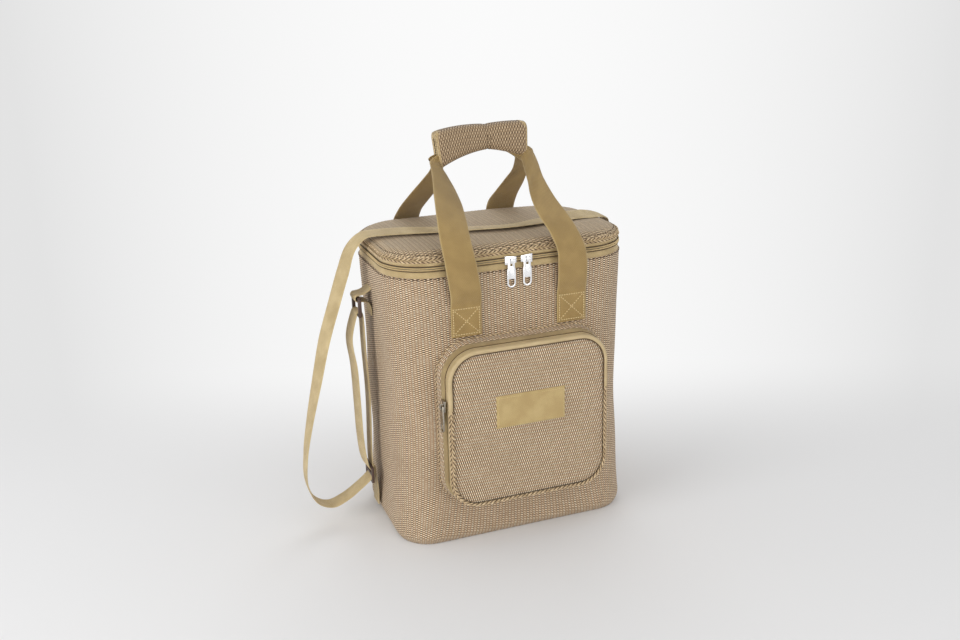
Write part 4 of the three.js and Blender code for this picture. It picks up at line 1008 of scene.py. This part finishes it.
piping_cloth = mottled("rolled_khaki", colour(160, 138, 98), colour(206, 184, 142), None,
                       {"Scale": 60.0, "Detail": 5.0}, Roughness=0.6, Sheen_Weight=0.15)
tree = piping_cloth.node_tree
place = add_node(tree, "ShaderNodeTexCoord").outputs["Object"]
threads = add_node(tree, "ShaderNodeTexNoise", {"Vector": place, "Scale": 1400.0}).outputs["Fac"]
tree.links.new(bumped(threads, 0.2 * MM), tree.nodes["Principled BSDF"].inputs["Normal"])
rolled_line = pocket_run(POCKET_FRONT - 1.4 * MM, 1.0 * MM, True)
rolled = tube("pocket_rolled_edge", rolled_line, False, 3.0 * MM, piping_cloth)
stretch(rolled, *FOLDING, "zip_tape", "pocket_piping_upper")
# A dark cord in the crevice where the rolled edge meets the pocket's front is painted shade.
seam_line = pocket_run(POCKET_FRONT - 3.2 * MM, 3.7 * MM, True)
stretch(tube("pocket_seam", seam_line, False, 0.7 * MM, dark_thread), *FOLDING, "zip_coil")

woven_level = woven_material("level_weave", 3.95 * MM, 2.5 * MM, 0.5, 0.5 * MM, weak=0.9)
pocket_front = crowned_sheet("pocket_front", POCKET_HALF[1] - FRONT_INSET, POCKET_HALF[0] - FRONT_INSET,
                             POCKET_CORNER - FRONT_INSET, pocket_surface, FRONT_RIBS, woven_level, rows=60)
pocket_front.data.transform(Matrix(((0, 1, 0, 0), (0, 0, -1, 0), (1, 0, 0, POCKET_CENTRE), (0, 0, 0, 1))))
pocket_front.data.flip_normals()
stretch(pocket_front, *FOLDING, "pocket_weave", "pocket_front_lower", "pocket_front_upper")

# Label: a bare patch of smooth tan cloth with turned edges, sewn to the middle of the pocket. It puffs up a
# little inside its edges.
LABEL_LOW, LABEL_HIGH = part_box("label_patch")
LABEL_PUFF = 0.35 * MM
LABEL_WAVE = 0.2 * MM
LABEL_TURN = 6 * MM
label_material = twill_material("label_cloth", 0.5 * MM, colour(194, 170, 118), colour(174, 148, 96),
                                0.05 * MM)
label_x = np.linspace(LABEL_LOW.x, LABEL_HIGH.x, 45)
label_z = np.linspace(LABEL_LOW.z, LABEL_HIGH.z, 25)
grid_x, grid_z = np.meshgrid(label_x, label_z)
to_edge = np.minimum(np.minimum(grid_x - LABEL_LOW.x, LABEL_HIGH.x - grid_x),
                     np.minimum(grid_z - LABEL_LOW.z, LABEL_HIGH.z - grid_z))
puff = LABEL_PUFF * np.sin(np.clip(to_edge / LABEL_TURN, 0, 1) * math.pi)
puff = puff + LABEL_WAVE * np.sin(grid_x * 70 + grid_z * 40)
grid_y = np.where(to_edge < 1e-9, LABEL_HIGH.y + 0.5 * MM, LABEL_LOW.y - puff)
label = cloth_object("label", np.stack([grid_x, grid_y, grid_z], axis=-1), flat_grid(label_x, label_z),
                     label_material)
settle(label, "bag", "label", "label_patch")

# Handles: two lengths of khaki webbing, each sewn to the wall at both ends in a boxed cross. A leg bows out
# past the lid, then leans in and turns on its way to the grip, where it is folded in half.
HANDLE_WIDTH = 38 * MM
HANDLE_THICK = 2.2 * MM
HANDLE_SPACING = 134 * MM
PATCH_LOW, PATCH_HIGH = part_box("handle_end_front_right")
PATCH_Y = (HALF_DEPTH + -PATCH_LOW.y) / 2 + 0.6 * MM
LEG_FOOT = PATCH_HIGH.z + 0.6 * MM
GRIP_HEIGHT = 481.5 * MM
GRIP_DROOP = 9 * MM
GRIP_LEAN = 2.5 * MM
GRIP_HALF = 54 * MM
GRIP_SHIFT = -9 * MM
FOLDED_Y = 4.2 * MM
FOLDED_WIDTH = 19 * MM
FOLD_BOW = 3.5 * MM
GRIP_BOW = 2.5 * MM
EDGE_POWER = 6
EDGE_THIN = 0.08
# Rows up each leg: share of the way to the grip, sway, bulge, share of the rise, turns of the width upwards
# and inwards in degrees, and the share of the width still open. All legs start alike.
LEG_START = ((0, 0, 0.3, 0, 0, 0, 1), (0, 0, 1.2, 0.025, 0, 0, 1))
LEG_ROWS = {
    ("front", "left"): (
        (0, -1, 4.8, 0.09, 0, 0, 1), (0, -5, 8.8, 0.218, 0, 0, 1), (0, -8, 9.5, 0.33, 4, 0, 1),
        (0.02, -11, 5.5, 0.478, 10, 0, 1), (0.12, -10, 0, 0.61, 17, 0, 1), (0.36, -7, 0, 0.72, 24, 0, 0.95),
        (0.62, -4, 0, 0.8, 30, 0, 0.68), (0.85, -3, 0, 0.865, 34, 0, 0.32), (0.95, -3, 0, 0.9, 36, 0, 0.05),
    ),
    ("front", "right"): (
        (0, -0.5, 4.8, 0.09, 0, 0, 1), (0, -2, 8.8, 0.218, 0, 0, 1), (0, -4.5, 9.5, 0.33, 4, 8, 1),
        (0.04, -13, 5.5, 0.478, 11, 20, 1), (0.16, -21, 0, 0.61, 20, 32, 1),
        (0.38, -19, 0, 0.72, 30, 38, 0.9), (0.62, -9, 0, 0.8, 36, 36, 0.63),
        (0.85, 0, 0, 0.865, 38, 26, 0.26), (0.95, 3, 0, 0.9, 38, 12, 0.05),
    ),
    ("rear", "left"): (
        (0, -1, 4.8, 0.09, 0, 0, 1), (0, -4, 8.8, 0.218, 0, 0, 1), (0.01, -7, 9, 0.33, 2, 8, 1),
        (0.12, -6, 4, 0.45, 8, 20, 1), (0.36, -1, 0, 0.585, 18, 30, 1), (0.58, 6, 0, 0.7, 27, 36, 0.9),
        (0.78, 8, 0, 0.79, 34, 36, 0.63), (0.92, 4, 0, 0.855, 38, 26, 0.26), (0.97, -1, 0, 0.9, 40, 12, 0.05),
    ),
    ("rear", "right"): (
        (0, -0.5, 4.8, 0.09, 0, 0, 1), (0, -3, 8.8, 0.218, 0, 0, 1), (0.01, -8, 9, 0.33, 2, 8, 1),
        (0.12, -8, 4, 0.45, 8, 20, 1), (0.36, -2, 0, 0.585, 18, 30, 1), (0.58, 4, 0, 0.7, 27, 36, 0.9),
        (0.78, 7, 0, 0.79, 34, 36, 0.63), (0.92, 5, 0, 0.855, 38, 26, 0.26), (0.97, 3, 0, 0.9, 40, 12, 0.05),
    ),
}
# Through the grip: how far along it from its right end, and how far the folded edge sinks, in mm.
GRIP_RUN = ((-3, 15), (-12, 11), (-27, 6), (-54, 1), (-81, 6), (-96, 11), (-105, 15))


def smooth_run(points, per_span):
    """Points along a smooth curve through the given ones, and how far along the list each lies."""
    points = np.asarray(points, float)
    padded = np.vstack([2 * points[0] - points[1], points, 2 * points[-1] - points[-2]])
    knots = np.concatenate([[0], np.cumsum(np.linalg.norm(np.diff(padded, axis=0), axis=1) ** 0.5)])
    made, places = [], []
    for i in range(1, len(padded) - 2):
        p, k = padded[i - 1:i + 3], knots[i - 1:i + 3]
        last = i == len(padded) - 3
        for part in np.linspace(0, 1, per_span, endpoint=False).tolist() + ([1.0] if last else []):
            t = k[1] + (k[2] - k[1]) * part
            level = [p[j] + (p[j + 1] - p[j]) * (t - k[j]) / (k[j + 1] - k[j]) for j in range(3)]
            level = [level[j] + (level[j + 1] - level[j]) * (t - k[j]) / (k[j + 2] - k[j]) for j in range(2)]
            made.append(level[0] + (level[1] - level[0]) * (t - k[1]) / (k[2] - k[1]))
            places.append(i - 1 + part)
    return np.array(made), np.array(places)


def webbing(name, line, wides, widths, thick, bows, material, across=12):
    """A strap of webbing along a fine line, with rounded edges and a section that may bow across."""
    forward = np.gradient(line, axis=0)
    forward /= np.linalg.norm(forward, axis=1)[:, None]
    wides = wides / np.linalg.norm(wides, axis=1)[:, None]
    through = np.cross(forward, wides)
    through /= np.linalg.norm(through, axis=1)[:, None]
    t = np.sin(np.linspace(-math.pi / 2, math.pi / 2, across))
    edge = np.sqrt(1 - np.abs(t) ** EDGE_POWER) * (1 - EDGE_THIN) + EDGE_THIN
    columns = list(zip(t, 1 - t ** 2, edge / 2))
    columns += [(u, bow, -half) for u, bow, half in columns[::-1]]
    points = np.stack([
        line + wides * (u * widths / 2)[:, None] + through * (bow * bows + half * thick)[:, None]
        for u, bow, half in columns
    ], axis=1)
    u_line = np.array([u for u, _, _ in columns] + [t[0]]) * widths.max() / 2
    strap = cloth_object(name, points, flat_grid(u_line, measured(line)), material, closed=True)
    close_ends(strap)
    strap.data.set_sharp_from_angle(angle=math.radians(60))
    return strap


def grip_arch(x):
    """The height of the grip's middle, which arches and leans."""
    share = (x - GRIP_SHIFT) / GRIP_HALF
    return GRIP_HEIGHT - GRIP_DROOP * share ** 2 + GRIP_LEAN * share


def leg_rows(end, side):
    """Rows of a leg from its sewn end up: place, direction of its width, width and bow."""
    front = -1 if end == "front" else 1
    out = 1 if side == "right" else -1
    patch_x = out * HANDLE_SPACING / 2
    grip_x = GRIP_SHIFT + out * GRIP_HALF
    rows = [((patch_x, front * PATCH_Y, PATCH_LOW.z + rise * MM), (out, 0, 0), HANDLE_WIDTH, 0.0)
            for rise in (0, 12, 25)]
    for share, sway, bulge, rise, lift, inwards, spread in (*LEG_START, *LEG_ROWS[end, side]):
        x = patch_x + sway * MM + share * (grip_x - patch_x)
        y = front * (PATCH_Y + share * (FOLDED_Y - PATCH_Y) + bulge * MM)
        z = LEG_FOOT + rise * (grip_arch(grip_x) - LEG_FOOT)
        up = math.radians(lift)
        turn = math.radians(inwards)
        wide = (out * math.cos(up) * math.cos(turn), -front * math.cos(up) * math.sin(turn), math.sin(up))
        width = FOLDED_WIDTH + spread * (HANDLE_WIDTH - FOLDED_WIDTH)
        rows.append(((x, y, z), wide, width, front * out * (1 - spread) * FOLD_BOW))
    return rows


handle_material = twill_material("handle_webbing", 1.1 * MM, colour(174, 145, 89), colour(154, 126, 74),
                                 0.16 * MM, HANDLE_WIDTH / 2)
for end, front in (("front", -1), ("rear", 1)):
    middle = []
    for shift, sunk in GRIP_RUN:
        x = GRIP_SHIFT + GRIP_HALF + shift * MM
        z = grip_arch(x) - sunk * MM
        middle.append(((x, front * FOLDED_Y, z), (0, 0, 1), FOLDED_WIDTH, front * GRIP_BOW))
    left = [(at, wide, width, -bow) for at, wide, width, bow in leg_rows(end, "left")][::-1]
    rows = leg_rows(end, "right") + middle + left
    line, places = smooth_run([row[0] for row in rows], 8)
    order = np.arange(len(rows))
    wides = np.stack([np.interp(places, order, [row[1][k] for row in rows]) for k in range(3)], axis=1)
    widths = np.interp(places, order, [row[2] for row in rows])
    bows = np.interp(places, order, [row[3] for row in rows])
    handle = webbing(f"{end}_handle", line, wides, widths, HANDLE_THICK, bows, handle_material)
    pivot = front * -PATCH_LOW.y
    stretch(handle, "bag", f"{end}_handle",
            (0, pivot, PATCH_HIGH.z - 3 * MM), (0, pivot, PATCH_HIGH.z + 9 * MM), "handle_webbing",
            f"{end}_handle_strap", f"handle_end_{end}_left", f"handle_end_{end}_right")

# Stitching: short runs of thick thread, sunk a little in the cloth. Each handle end is sewn in a box with a
# cross, and the label round its edge.
PATCH_MARGIN = 3 * MM
BOX_TOP = PATCH_HIGH.z - 2.5 * MM
BOX_FOOT = PATCH_LOW.z + 3 * MM
LABEL_MARGIN = 2.2 * MM
HANDLE_STITCH = (3.2, 2.5, 1.2)
LABEL_STITCH = (2.4, 1.8, 0.45)
thread_material = mottled("khaki_thread", colour(198, 172, 118), colour(236, 214, 164), 0.1 * MM,
                          {"Scale": 600.0, "Distortion": 2.0}, "Wave", Roughness=0.6, Sheen_Weight=0.2)


def upright_box(x_low, x_high, z_low, z_high, y):
    """The corners of an upright rectangle on the plane y."""
    return [(x_low, y, z_low), (x_high, y, z_low), (x_high, y, z_high), (x_low, y, z_high)]


sewing = []
for front in (-1, 1):
    y = front * (PATCH_Y + HANDLE_THICK / 2 + 0.15 * MM)
    for out in (-1, 1):
        x_low, x_high = [out * HANDLE_SPACING / 2 + s * (HANDLE_WIDTH / 2 - PATCH_MARGIN) for s in (-1, 1)]
        box = upright_box(x_low, x_high, BOX_FOOT, BOX_TOP, y)
        sewing += [(box, True), ([box[0], box[2]], False), ([box[1], box[3]], False)]
settle(sewn("handle_stitches", sewing, *HANDLE_STITCH, thread_material), "bag", "handle_webbing")
box = upright_box(LABEL_LOW.x + LABEL_MARGIN, LABEL_HIGH.x - LABEL_MARGIN, LABEL_LOW.z + LABEL_MARGIN,
                  LABEL_HIGH.z - LABEL_MARGIN, LABEL_LOW.y - 0.25 * MM)
settle(sewn("label_stitches", [(box, True)], *LABEL_STITCH, thread_material), "bag", "label")

# Grip: a padded sleeve of the woven cloth that closes round both handles. The front leaf is sewn to the front
# handle and wraps over the top and bottom, and the rear leaf closes it behind.
PAD = 4.5 * MM
GRIP_WAIST = 10.4 * MM
GRIP_FLARE = 17.5 * MM
GRIP_DEPTH = 7.2 * MM
GRIP_ROUND = 8 * MM
GRIP_SLANT = math.radians(7)
GRIP_CREASE = 0.17
GRIP_STRETCH = 5 * MM
GRIP_SEAM = 3 * MM
SEAM_GAP = 0.3 * MM
FLARE_POWER = 1.2
CREASE_DEPTH = 0.12
CREASE_SPAN = 0.05
END_SWELL = 0.78
END_SPAN = 0.12
GRIP_STITCH = (3.6, 2.7, 1.1)
# The grip weave's colours, with the same painted highlight and painted shade.
GRIP_COLOURS = {"Pale_highlight": colour(206, 182, 146), "Straw": colour(158, 133, 102), "Pit_shade": colour(84, 62, 42)}
# The hem at a grip's end: how far back each row lies and how far it stands proud, in mm.
HEM_ROWS = ((6.5, -1.2), (6.2, 0.2), (3, 0.5), (0.6, 0.3), (-0.4, -0.4), (-0.5, -3.0))
grip_material = woven_material("grip_weave", 3.6 * MM, 3.2 * MM, 0.15, 0.5 * MM, GRIP_COLOURS, 0.75)


def leaf_outline(side, seam, half_y, half_z, radius, steps=9):
    """Half of the sleeve's section, from the seam at the top round the outside to the seam below."""
    arcs = []
    for sign, first in ((1, 90), (-1, 0)):
        for k in range(steps):
            angle = math.radians(first - 90 * k / (steps - 1))
            arcs.append((side * (half_y - radius + radius * math.cos(angle)),
                         sign * (half_z - radius) + radius * math.sin(angle)))
    flat_top = [(seam + (arcs[0][0] - seam) * k / 4, half_z) for k in range(4)]
    flat_foot = [(y, -z) for y, z in flat_top[::-1]]
    (y, z), (_, z_low) = arcs[steps - 1:steps + 1]
    face = [(y, z + (z_low - z) * k / 6) for k in range(1, 6)]
    return [*flat_top, *arcs[:steps], *face, *arcs[steps:], *flat_foot]


def grip_place(part, outline):
    """A section of the sleeve put at its place along the grip, from -1 to 1. The left end is slanted."""
    x = GRIP_SHIFT + part * GRIP_HALF
    outline = np.asarray(outline)
    slant = math.tan(GRIP_SLANT) * max(0.0, -part)
    reach = GRIP_STRETCH * max(0.0, part) ** 2
    return np.column_stack([x + reach - slant * outline[:, 1], outline[:, 0], grip_arch(x) + outline[:, 1]])


def leaf_sections(part, side, seam, proud=0.0):
    """A leaf's outside and inside at a place along the grip: pinched in the middle and flared to its ends."""
    away = abs(part - GRIP_CREASE) / (1 + GRIP_CREASE if part < GRIP_CREASE else 1 - GRIP_CREASE)
    half_z = GRIP_WAIST + (GRIP_FLARE - GRIP_WAIST) * away ** FLARE_POWER
    crease = 1 - CREASE_DEPTH * math.exp(-((part - GRIP_CREASE) / CREASE_SPAN) ** 2)
    from_end = min(1.0, (1 - min(abs(part), 1.0)) / END_SPAN)
    swell = PAD * (END_SWELL + (1 - END_SWELL) * from_end ** 0.5) * crease + proud
    outside = leaf_outline(side, seam, GRIP_DEPTH + swell, half_z + swell, GRIP_ROUND)
    return outside, leaf_outline(side, seam, GRIP_DEPTH, half_z, GRIP_ROUND - PAD)[::-1]


def grip_leaf(name, side, seam):
    """A padded leaf: woven cloth outside and in, with the padding swelling between its hemmed ends."""
    rows, flat = [], []
    for part in np.linspace(-1, 1, 61):
        outside, inside = leaf_sections(part, side, seam)
        loop = np.array([*outside, *inside])
        rows.append(grip_place(part, loop))
        around = measured(np.vstack([loop, loop[:1]]))
        flat.append(np.column_stack([around, np.full(len(around), 0.2 + part * GRIP_HALF)]))
    leaf = cloth_object(name, rows, flat, grip_material, closed=True)
    close_ends(leaf)
    return leaf


def grip_hem(name, side, seam, end):
    """A strip of khaki tape folded over one end of a leaf."""
    rows = [grip_place(end * (1 - back * MM / GRIP_HALF), leaf_sections(end, side, seam, proud * MM)[0])
            for back, proud in HEM_ROWS]
    inner = np.array(leaf_sections(end, side, seam, -4 * MM)[0])
    rows.append(grip_place(end * 0.985, inner * (0.1, 0.9)))
    hem_map = flat_grid(np.arange(len(rows[0])) * 1.6 * MM, np.arange(len(rows)) * 2 * MM)
    return cloth_object(name, rows, hem_map, tape_material, inward=end * side > 0)


for end, side, node in (("front", -1, "grip_wrap"), ("rear", 1, "grip_closing_leaf")):
    seam = GRIP_SEAM + side * SEAM_GAP
    body = f"{end}_handle"
    leaf = grip_leaf(f"grip_{end}", side, seam)
    settle(leaf, body, "grip_weave", node)
    for out, suffix in ((-1, "left"), (1, "right")):
        settle(grip_hem(f"grip_{end}_hem_{suffix}", side, seam, out), body, "zip_tape")


def front_line(part):
    """The front leaf's outside at a place along the grip."""
    return grip_place(part, leaf_sections(part, -1, GRIP_SEAM - SEAM_GAP)[0])


top_line = [front_line(part)[3] for part in np.linspace(-0.97, 0.97, 40)]
creases = [(front_line(GRIP_CREASE + step)[14:], False) for step in (-0.04, 0.04)]
grip_sewing = sewn("grip_stitches", [(top_line, False), *creases], *GRIP_STITCH, dark_thread)
settle(grip_sewing, "front_handle", "grip_weave")


# Zip sliders and pulls: cast and plated, with softened edges, bright on the lid and duller on the pocket.
# Each pull hangs in the bridge on its slider's front and has a window at its foot.
FLAT_ANGLE = math.radians(1)
BEVEL_ANGLE = math.radians(35)
SHARP_ANGLE = math.radians(40)
CHEEK_INSIDE = 2.3 * MM
CHEEK_TALL = 12 * MM
CHEEK_GAIN = 1.3 * MM


def plated(name, worn, bright):
    """Plated metal with fine scuffs, between two greys."""
    return mottled(name, worn, bright, 0.05 * MM, {"Scale": 420.0, "Detail": 8.0}, gloss=(0.18, 0.1),
                   Metallic=1.0)


def softened(name, node, bevel, material, segments=2):
    """A copy of a rigid node with rounded edges."""
    mesh = nodes[node].data.copy()
    shape = bmesh.new()
    shape.from_mesh(mesh)
    bmesh.ops.remove_doubles(shape, verts=shape.verts, dist=1e-6)
    bmesh.ops.dissolve_limit(shape, angle_limit=FLAT_ANGLE, verts=shape.verts, edges=shape.edges)
    shape.to_mesh(mesh)
    shape.free()
    dress(mesh, material)
    source = placed(name + "_blank", mesh)
    rounding = source.modifiers.new("rounding", "BEVEL")
    rounding.width = bevel
    rounding.segments = segments
    rounding.limit_method = "ANGLE"
    rounding.angle_limit = BEVEL_ANGLE
    piece = baked(name, source)
    piece.data.shade_smooth()
    piece.data.set_sharp_from_angle(angle=SHARP_ANGLE)
    return piece


def broad_pull(name, node, axis, material):
    """A pull with the cheeks of its eye broadened towards its full width along an axis."""
    pull = softened(name, node, 0.3 * MM, material)
    low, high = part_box(node)
    middle = (low[axis] + high[axis]) / 2
    for vertex in pull.data.vertices:
        reach = vertex.co[axis] - middle
        if abs(reach) > CHEEK_INSIDE and vertex.co.z > high.z - CHEEK_TALL:
            vertex.co[axis] += math.copysign(CHEEK_GAIN, reach)
    return pull


def zip_end(names, axis, material, slider, pull):
    """A slider and its pull: the names of the two pieces, then the bodies and nodes of each."""
    settle(softened(names[0], slider[1], 0.6 * MM, material, 3), slider[0], "zip_metal", slider[1])
    settle(broad_pull(names[1], pull[1], axis, material), pull[0], "zip_metal", pull[1])


metal = plated("bright_nickel", colour(232, 232, 233), colour(253, 253, 254))
dull_metal = plated("dull_nickel", colour(140, 132, 118), colour(190, 184, 172))
for side in ("left", "right"):
    zip_end((f"slider_{side}_cast", f"pull_{side}_cast"), 0, metal,
            (f"slider_{side}", f"main_slider_{side}"), (f"pull_{side}", f"main_pull_{side}"))
zip_end(("pocket_slider_cast", "pocket_pull_cast"), 1, dull_metal,
        ("pocket_zip_slider", "pocket_slider"), ("pocket_zip_pull", "pocket_pull"))

# Side rings: a dark brown moulded ring hangs on each side from a loop of webbing sewn to the wall, and the
# three-bar adjuster of the shoulder strap is moulded of the same plastic.
STRAP_WIDTH = 25 * MM
STRAP_THICK = 1.7 * MM
SIDE_Y = 12 * MM
RING_LEFT_LOW, RING_LEFT_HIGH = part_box("side_ring_left")
RING_X = -(RING_LEFT_LOW.x + RING_LEFT_HIGH.x) / 2
RING_TOP = RING_LEFT_HIGH.z - 2 * MM
TAB_X = HALF_WIDTH + 0.6 * MM
TAB_TURN = 4.2 * MM
TAB_ANGLES = (105, 60, 15, -30, -75, -105)
plastic = mottled("brown_plastic", colour(62, 44, 38), colour(88, 66, 56), 0.08 * MM,
                  {"Scale": 700.0, "Detail": 3.0}, Roughness=0.42)
for name, node, body in (("ring_left_moulded", "side_ring_left", "ring_left"),
                         ("ring_right_moulded", "side_ring_right", "ring_right"),
                         ("adjuster_moulded", "strap_adjuster", "adjuster")):
    settle(softened(name, node, 0.7 * MM, plastic, 3), body, "brown_plastic", node)

strap_material = twill_material("strap_webbing", 1.0 * MM, colour(216, 194, 146), colour(184, 160, 112),
                                0.14 * MM, STRAP_WIDTH / 2)


def side_strap(name, line, wides=None):
    """A strap whose width lies along y, or as given."""
    count = len(line)
    wides = np.tile([0.0, 1.0, 0.0], (count, 1)) if wides is None else wides
    return webbing(name, line, wides, np.full(count, STRAP_WIDTH), STRAP_THICK, np.zeros(count),
                   strap_material, 9)


# A tab's route from the wall over the ring's upper bar and back to the wall, out from the bag and up.
tab_above = [(TAB_X - 3 * MM, 12), (TAB_X, 9), (RING_X - 7 * MM, 5)]
tab_below = [(RING_X - 7 * MM, -4.6), (TAB_X + 1.5 * MM, -7.5), (TAB_X - 0.8 * MM, -15),
             (TAB_X - 0.8 * MM, -23)]
tab_turn = [(RING_X + TAB_TURN * math.cos(a), RING_TOP + TAB_TURN * math.sin(a))
            for a in np.radians(TAB_ANGLES)]
tab_route = [*((x, RING_TOP + z * MM) for x, z in tab_above), *tab_turn,
             *((x, RING_TOP + z * MM) for x, z in tab_below)]
for side, out in (("left", -1), ("right", 1)):
    line, _ = smooth_run([(out * x, SIDE_Y, z) for x, z in tab_route], 6)
    settle(side_strap(f"tab_{side}", line), "bag", "strap_webbing", f"side_tab_{side}")

# Shoulder strap: one length of paler webbing. It is doubled from the left ring down to the adjuster, then
# loops out beside the bag, over the lid and down to the right ring. Where it passes from one body to another
# it is cut into lengths that meet.
LID_STRAP = LID_TOP + 1.2 * MM
RING_LOW = RING_LEFT_LOW.z + 2 * MM
TURN_RADIUS = 4.05 * MM
STRAP_RUN = (
    (-163.2, 12, 63), (-165.6, 12, 58.4), (-170.2, 12, 54.2), (-182, 12, 45), (-200, 12, 33.5),
    (-220, 12, 27),
    (-238, 12, 36), (-248.5, 12, 62), (-247, 12, 99), (-239, 12, 141), (-225, 12, 198), (-212, 12, 249),
    (-197, 12, 293), (-184, 12, 330), (-172, 12, 360),
)
LID_RUN = (
    (-157, 8, -1), (-138, 3, 1.5), (-110, -6, 2.5), (-74, -16, 2), (-20, -30, 1.5), (15, -34, 1),
    (55, -30, 1.5), (97, -24, 3), (125, -17, 1), (146, -10, -3), (158, -3, -9), (164, 4, -24),
)
END_RUN = ((172, 10, 331), (177, 12, 307), (177, 12, 291))
# Where along the run the width turns, and how far it turns sideways and upwards: towards the front on the
# loop, and with its rear edge up on the lid.
WIDTH_TURNS = (
    (0, 0, 0), (3, 0, 0), (5, -0.1, 0), (7, 0.02, 0), (8, 0, 0), (9, -0.1, 0), (10, -0.28, 0), (11, -0.38, 0),
    (13, -0.42, 0), (15, -0.1, 0.1), (17, 0.15, 0.12), (18, 0.15, 0.05), (19, 0.1, -0.08), (20, 0.1, -0.1),
    (21, 0, 0), (22, -0.05, 0.2), (23, -0.1, 0.25), (24, -0.1, 0.1), (26, 0, 0), (40, 0, 0),
)
RUN_STEPS = 10
LOOP_END = 8 * RUN_STEPS
LID_MIDDLE = 19 * RUN_STEPS
RING_START = 28 * RUN_STEPS
FOLD_RUN = ((-162.8, 12, 64), (-163.0, 12, 70), (-164.2, 12, 76), (-162.2, 12, 168), (-163.8, 12, 230))
FOLD_BACK = ((-181, 12, 248), (-177.5, 12, 208), (-176.4, 12, 156), (-175.6, 12, 114), (-172.8, 12, 84),
             (-169, 12, 71.5), (-164.0, 12, 66.6))
FOLD_STEPS = 12
FOLD_SPLIT = 240 * MM
FOLD_TURNS = ((8, 11, 14, 16), (0, -0.14, -0.14, 0))
FOLD_TIES = ("adjuster", "bag", (-0.169, 0.012, 0.08), (-0.169, 0.012, 0.238))


def in_mm(points):
    """Points given in mm, in metres."""
    return [tuple(v * MM for v in point) for point in points]


def bar_turn(x, first, last):
    """The strap bent half round a ring's lower bar."""
    return [(x + TURN_RADIUS * math.cos(a), SIDE_Y, RING_LOW + TURN_RADIUS * math.sin(a))
            for a in np.radians(np.linspace(first, last, 5))]


def strap_lengths(line, wides, *spans):
    """Cuts a strap into lengths that meet. A span is its name, its first and last rows, what ties it to two
    bodies, and the nodes that it stands for."""
    for name, first, last, ties, *stands_for in spans:
        length = side_strap(name, line[first:last + 1], wides[first:last + 1])
        stretch(length, *ties, "strap_webbing", *stands_for)


run = in_mm(STRAP_RUN) + [(x * MM, y * MM, LID_STRAP + z * MM) for x, y, z in LID_RUN] + in_mm(END_RUN)
run += bar_turn(RING_X, 0, -180) + [(RING_X - 3.6 * MM, SIDE_Y, RING_LOW + 7.5 * MM)]
line, places = smooth_run(run, RUN_STEPS)
turn_places, turns_out, turns_up = np.array(WIDTH_TURNS).T
run_wides = np.stack([np.interp(places, turn_places, turns_out), np.ones(len(places)),
                      np.interp(places, turn_places, turns_up)], axis=1)
strap_lengths(
    line, run_wides,
    ("strap_loop", 0, LOOP_END, ("adjuster", "bag", (-0.177, 0.012, 0.05), (-0.245, 0.012, 0.05)),
     "shoulder_strap"),
    ("strap_rise", LOOP_END, LID_MIDDLE, ("bag", "lid", (-0.205, 0.01, 0.3), (-0.150, 0.01, 0.3))),
    ("strap_over_lid", LID_MIDDLE, RING_START, ("lid", "bag", (0.165, 0, 0.371), (0.165, 0, 0.318))),
    ("strap_end", RING_START, len(line) - 1,
     ("bag", "ring_right", (0.17, 0.012, 0.303), (0.17, 0.012, 0.279))),
)

line, places = smooth_run(in_mm(FOLD_RUN) + bar_turn(-RING_X, 0, 180) + in_mm(FOLD_BACK), FOLD_STEPS)
fold_wides = np.stack([np.interp(places, *FOLD_TURNS), np.ones(len(line)), np.zeros(len(line))], axis=1)
high = np.flatnonzero(line[:, 2] > FOLD_SPLIT)
strap_lengths(
    line, fold_wides,
    ("fold_inner", 0, high[0], FOLD_TIES),
    ("fold_ring", high[0], high[-1], ("bag", "ring_left", (-0.169, 0.012, 0.247), (-0.169, 0.012, 0.276)),
     "shoulder_strap_fold"),
    ("fold_outer", high[-1], len(line) - 1, FOLD_TIES),
)

# Strap tail: the spare end of the same webbing, which hangs from the adjuster beside the wall and moves with
# the adjuster.
TAIL_RUN = ((-161.2, 12, 72), (-160.6, 12.5, 60), (-158.8, 14.5, 48), (-157.2, 18, 36), (-156.7, 21, 25),
            (-156.7, 23, 13))
line, _ = smooth_run(in_mm(TAIL_RUN), 6)
settle(side_strap("strap_tail", line), "adjuster", "strap_webbing")
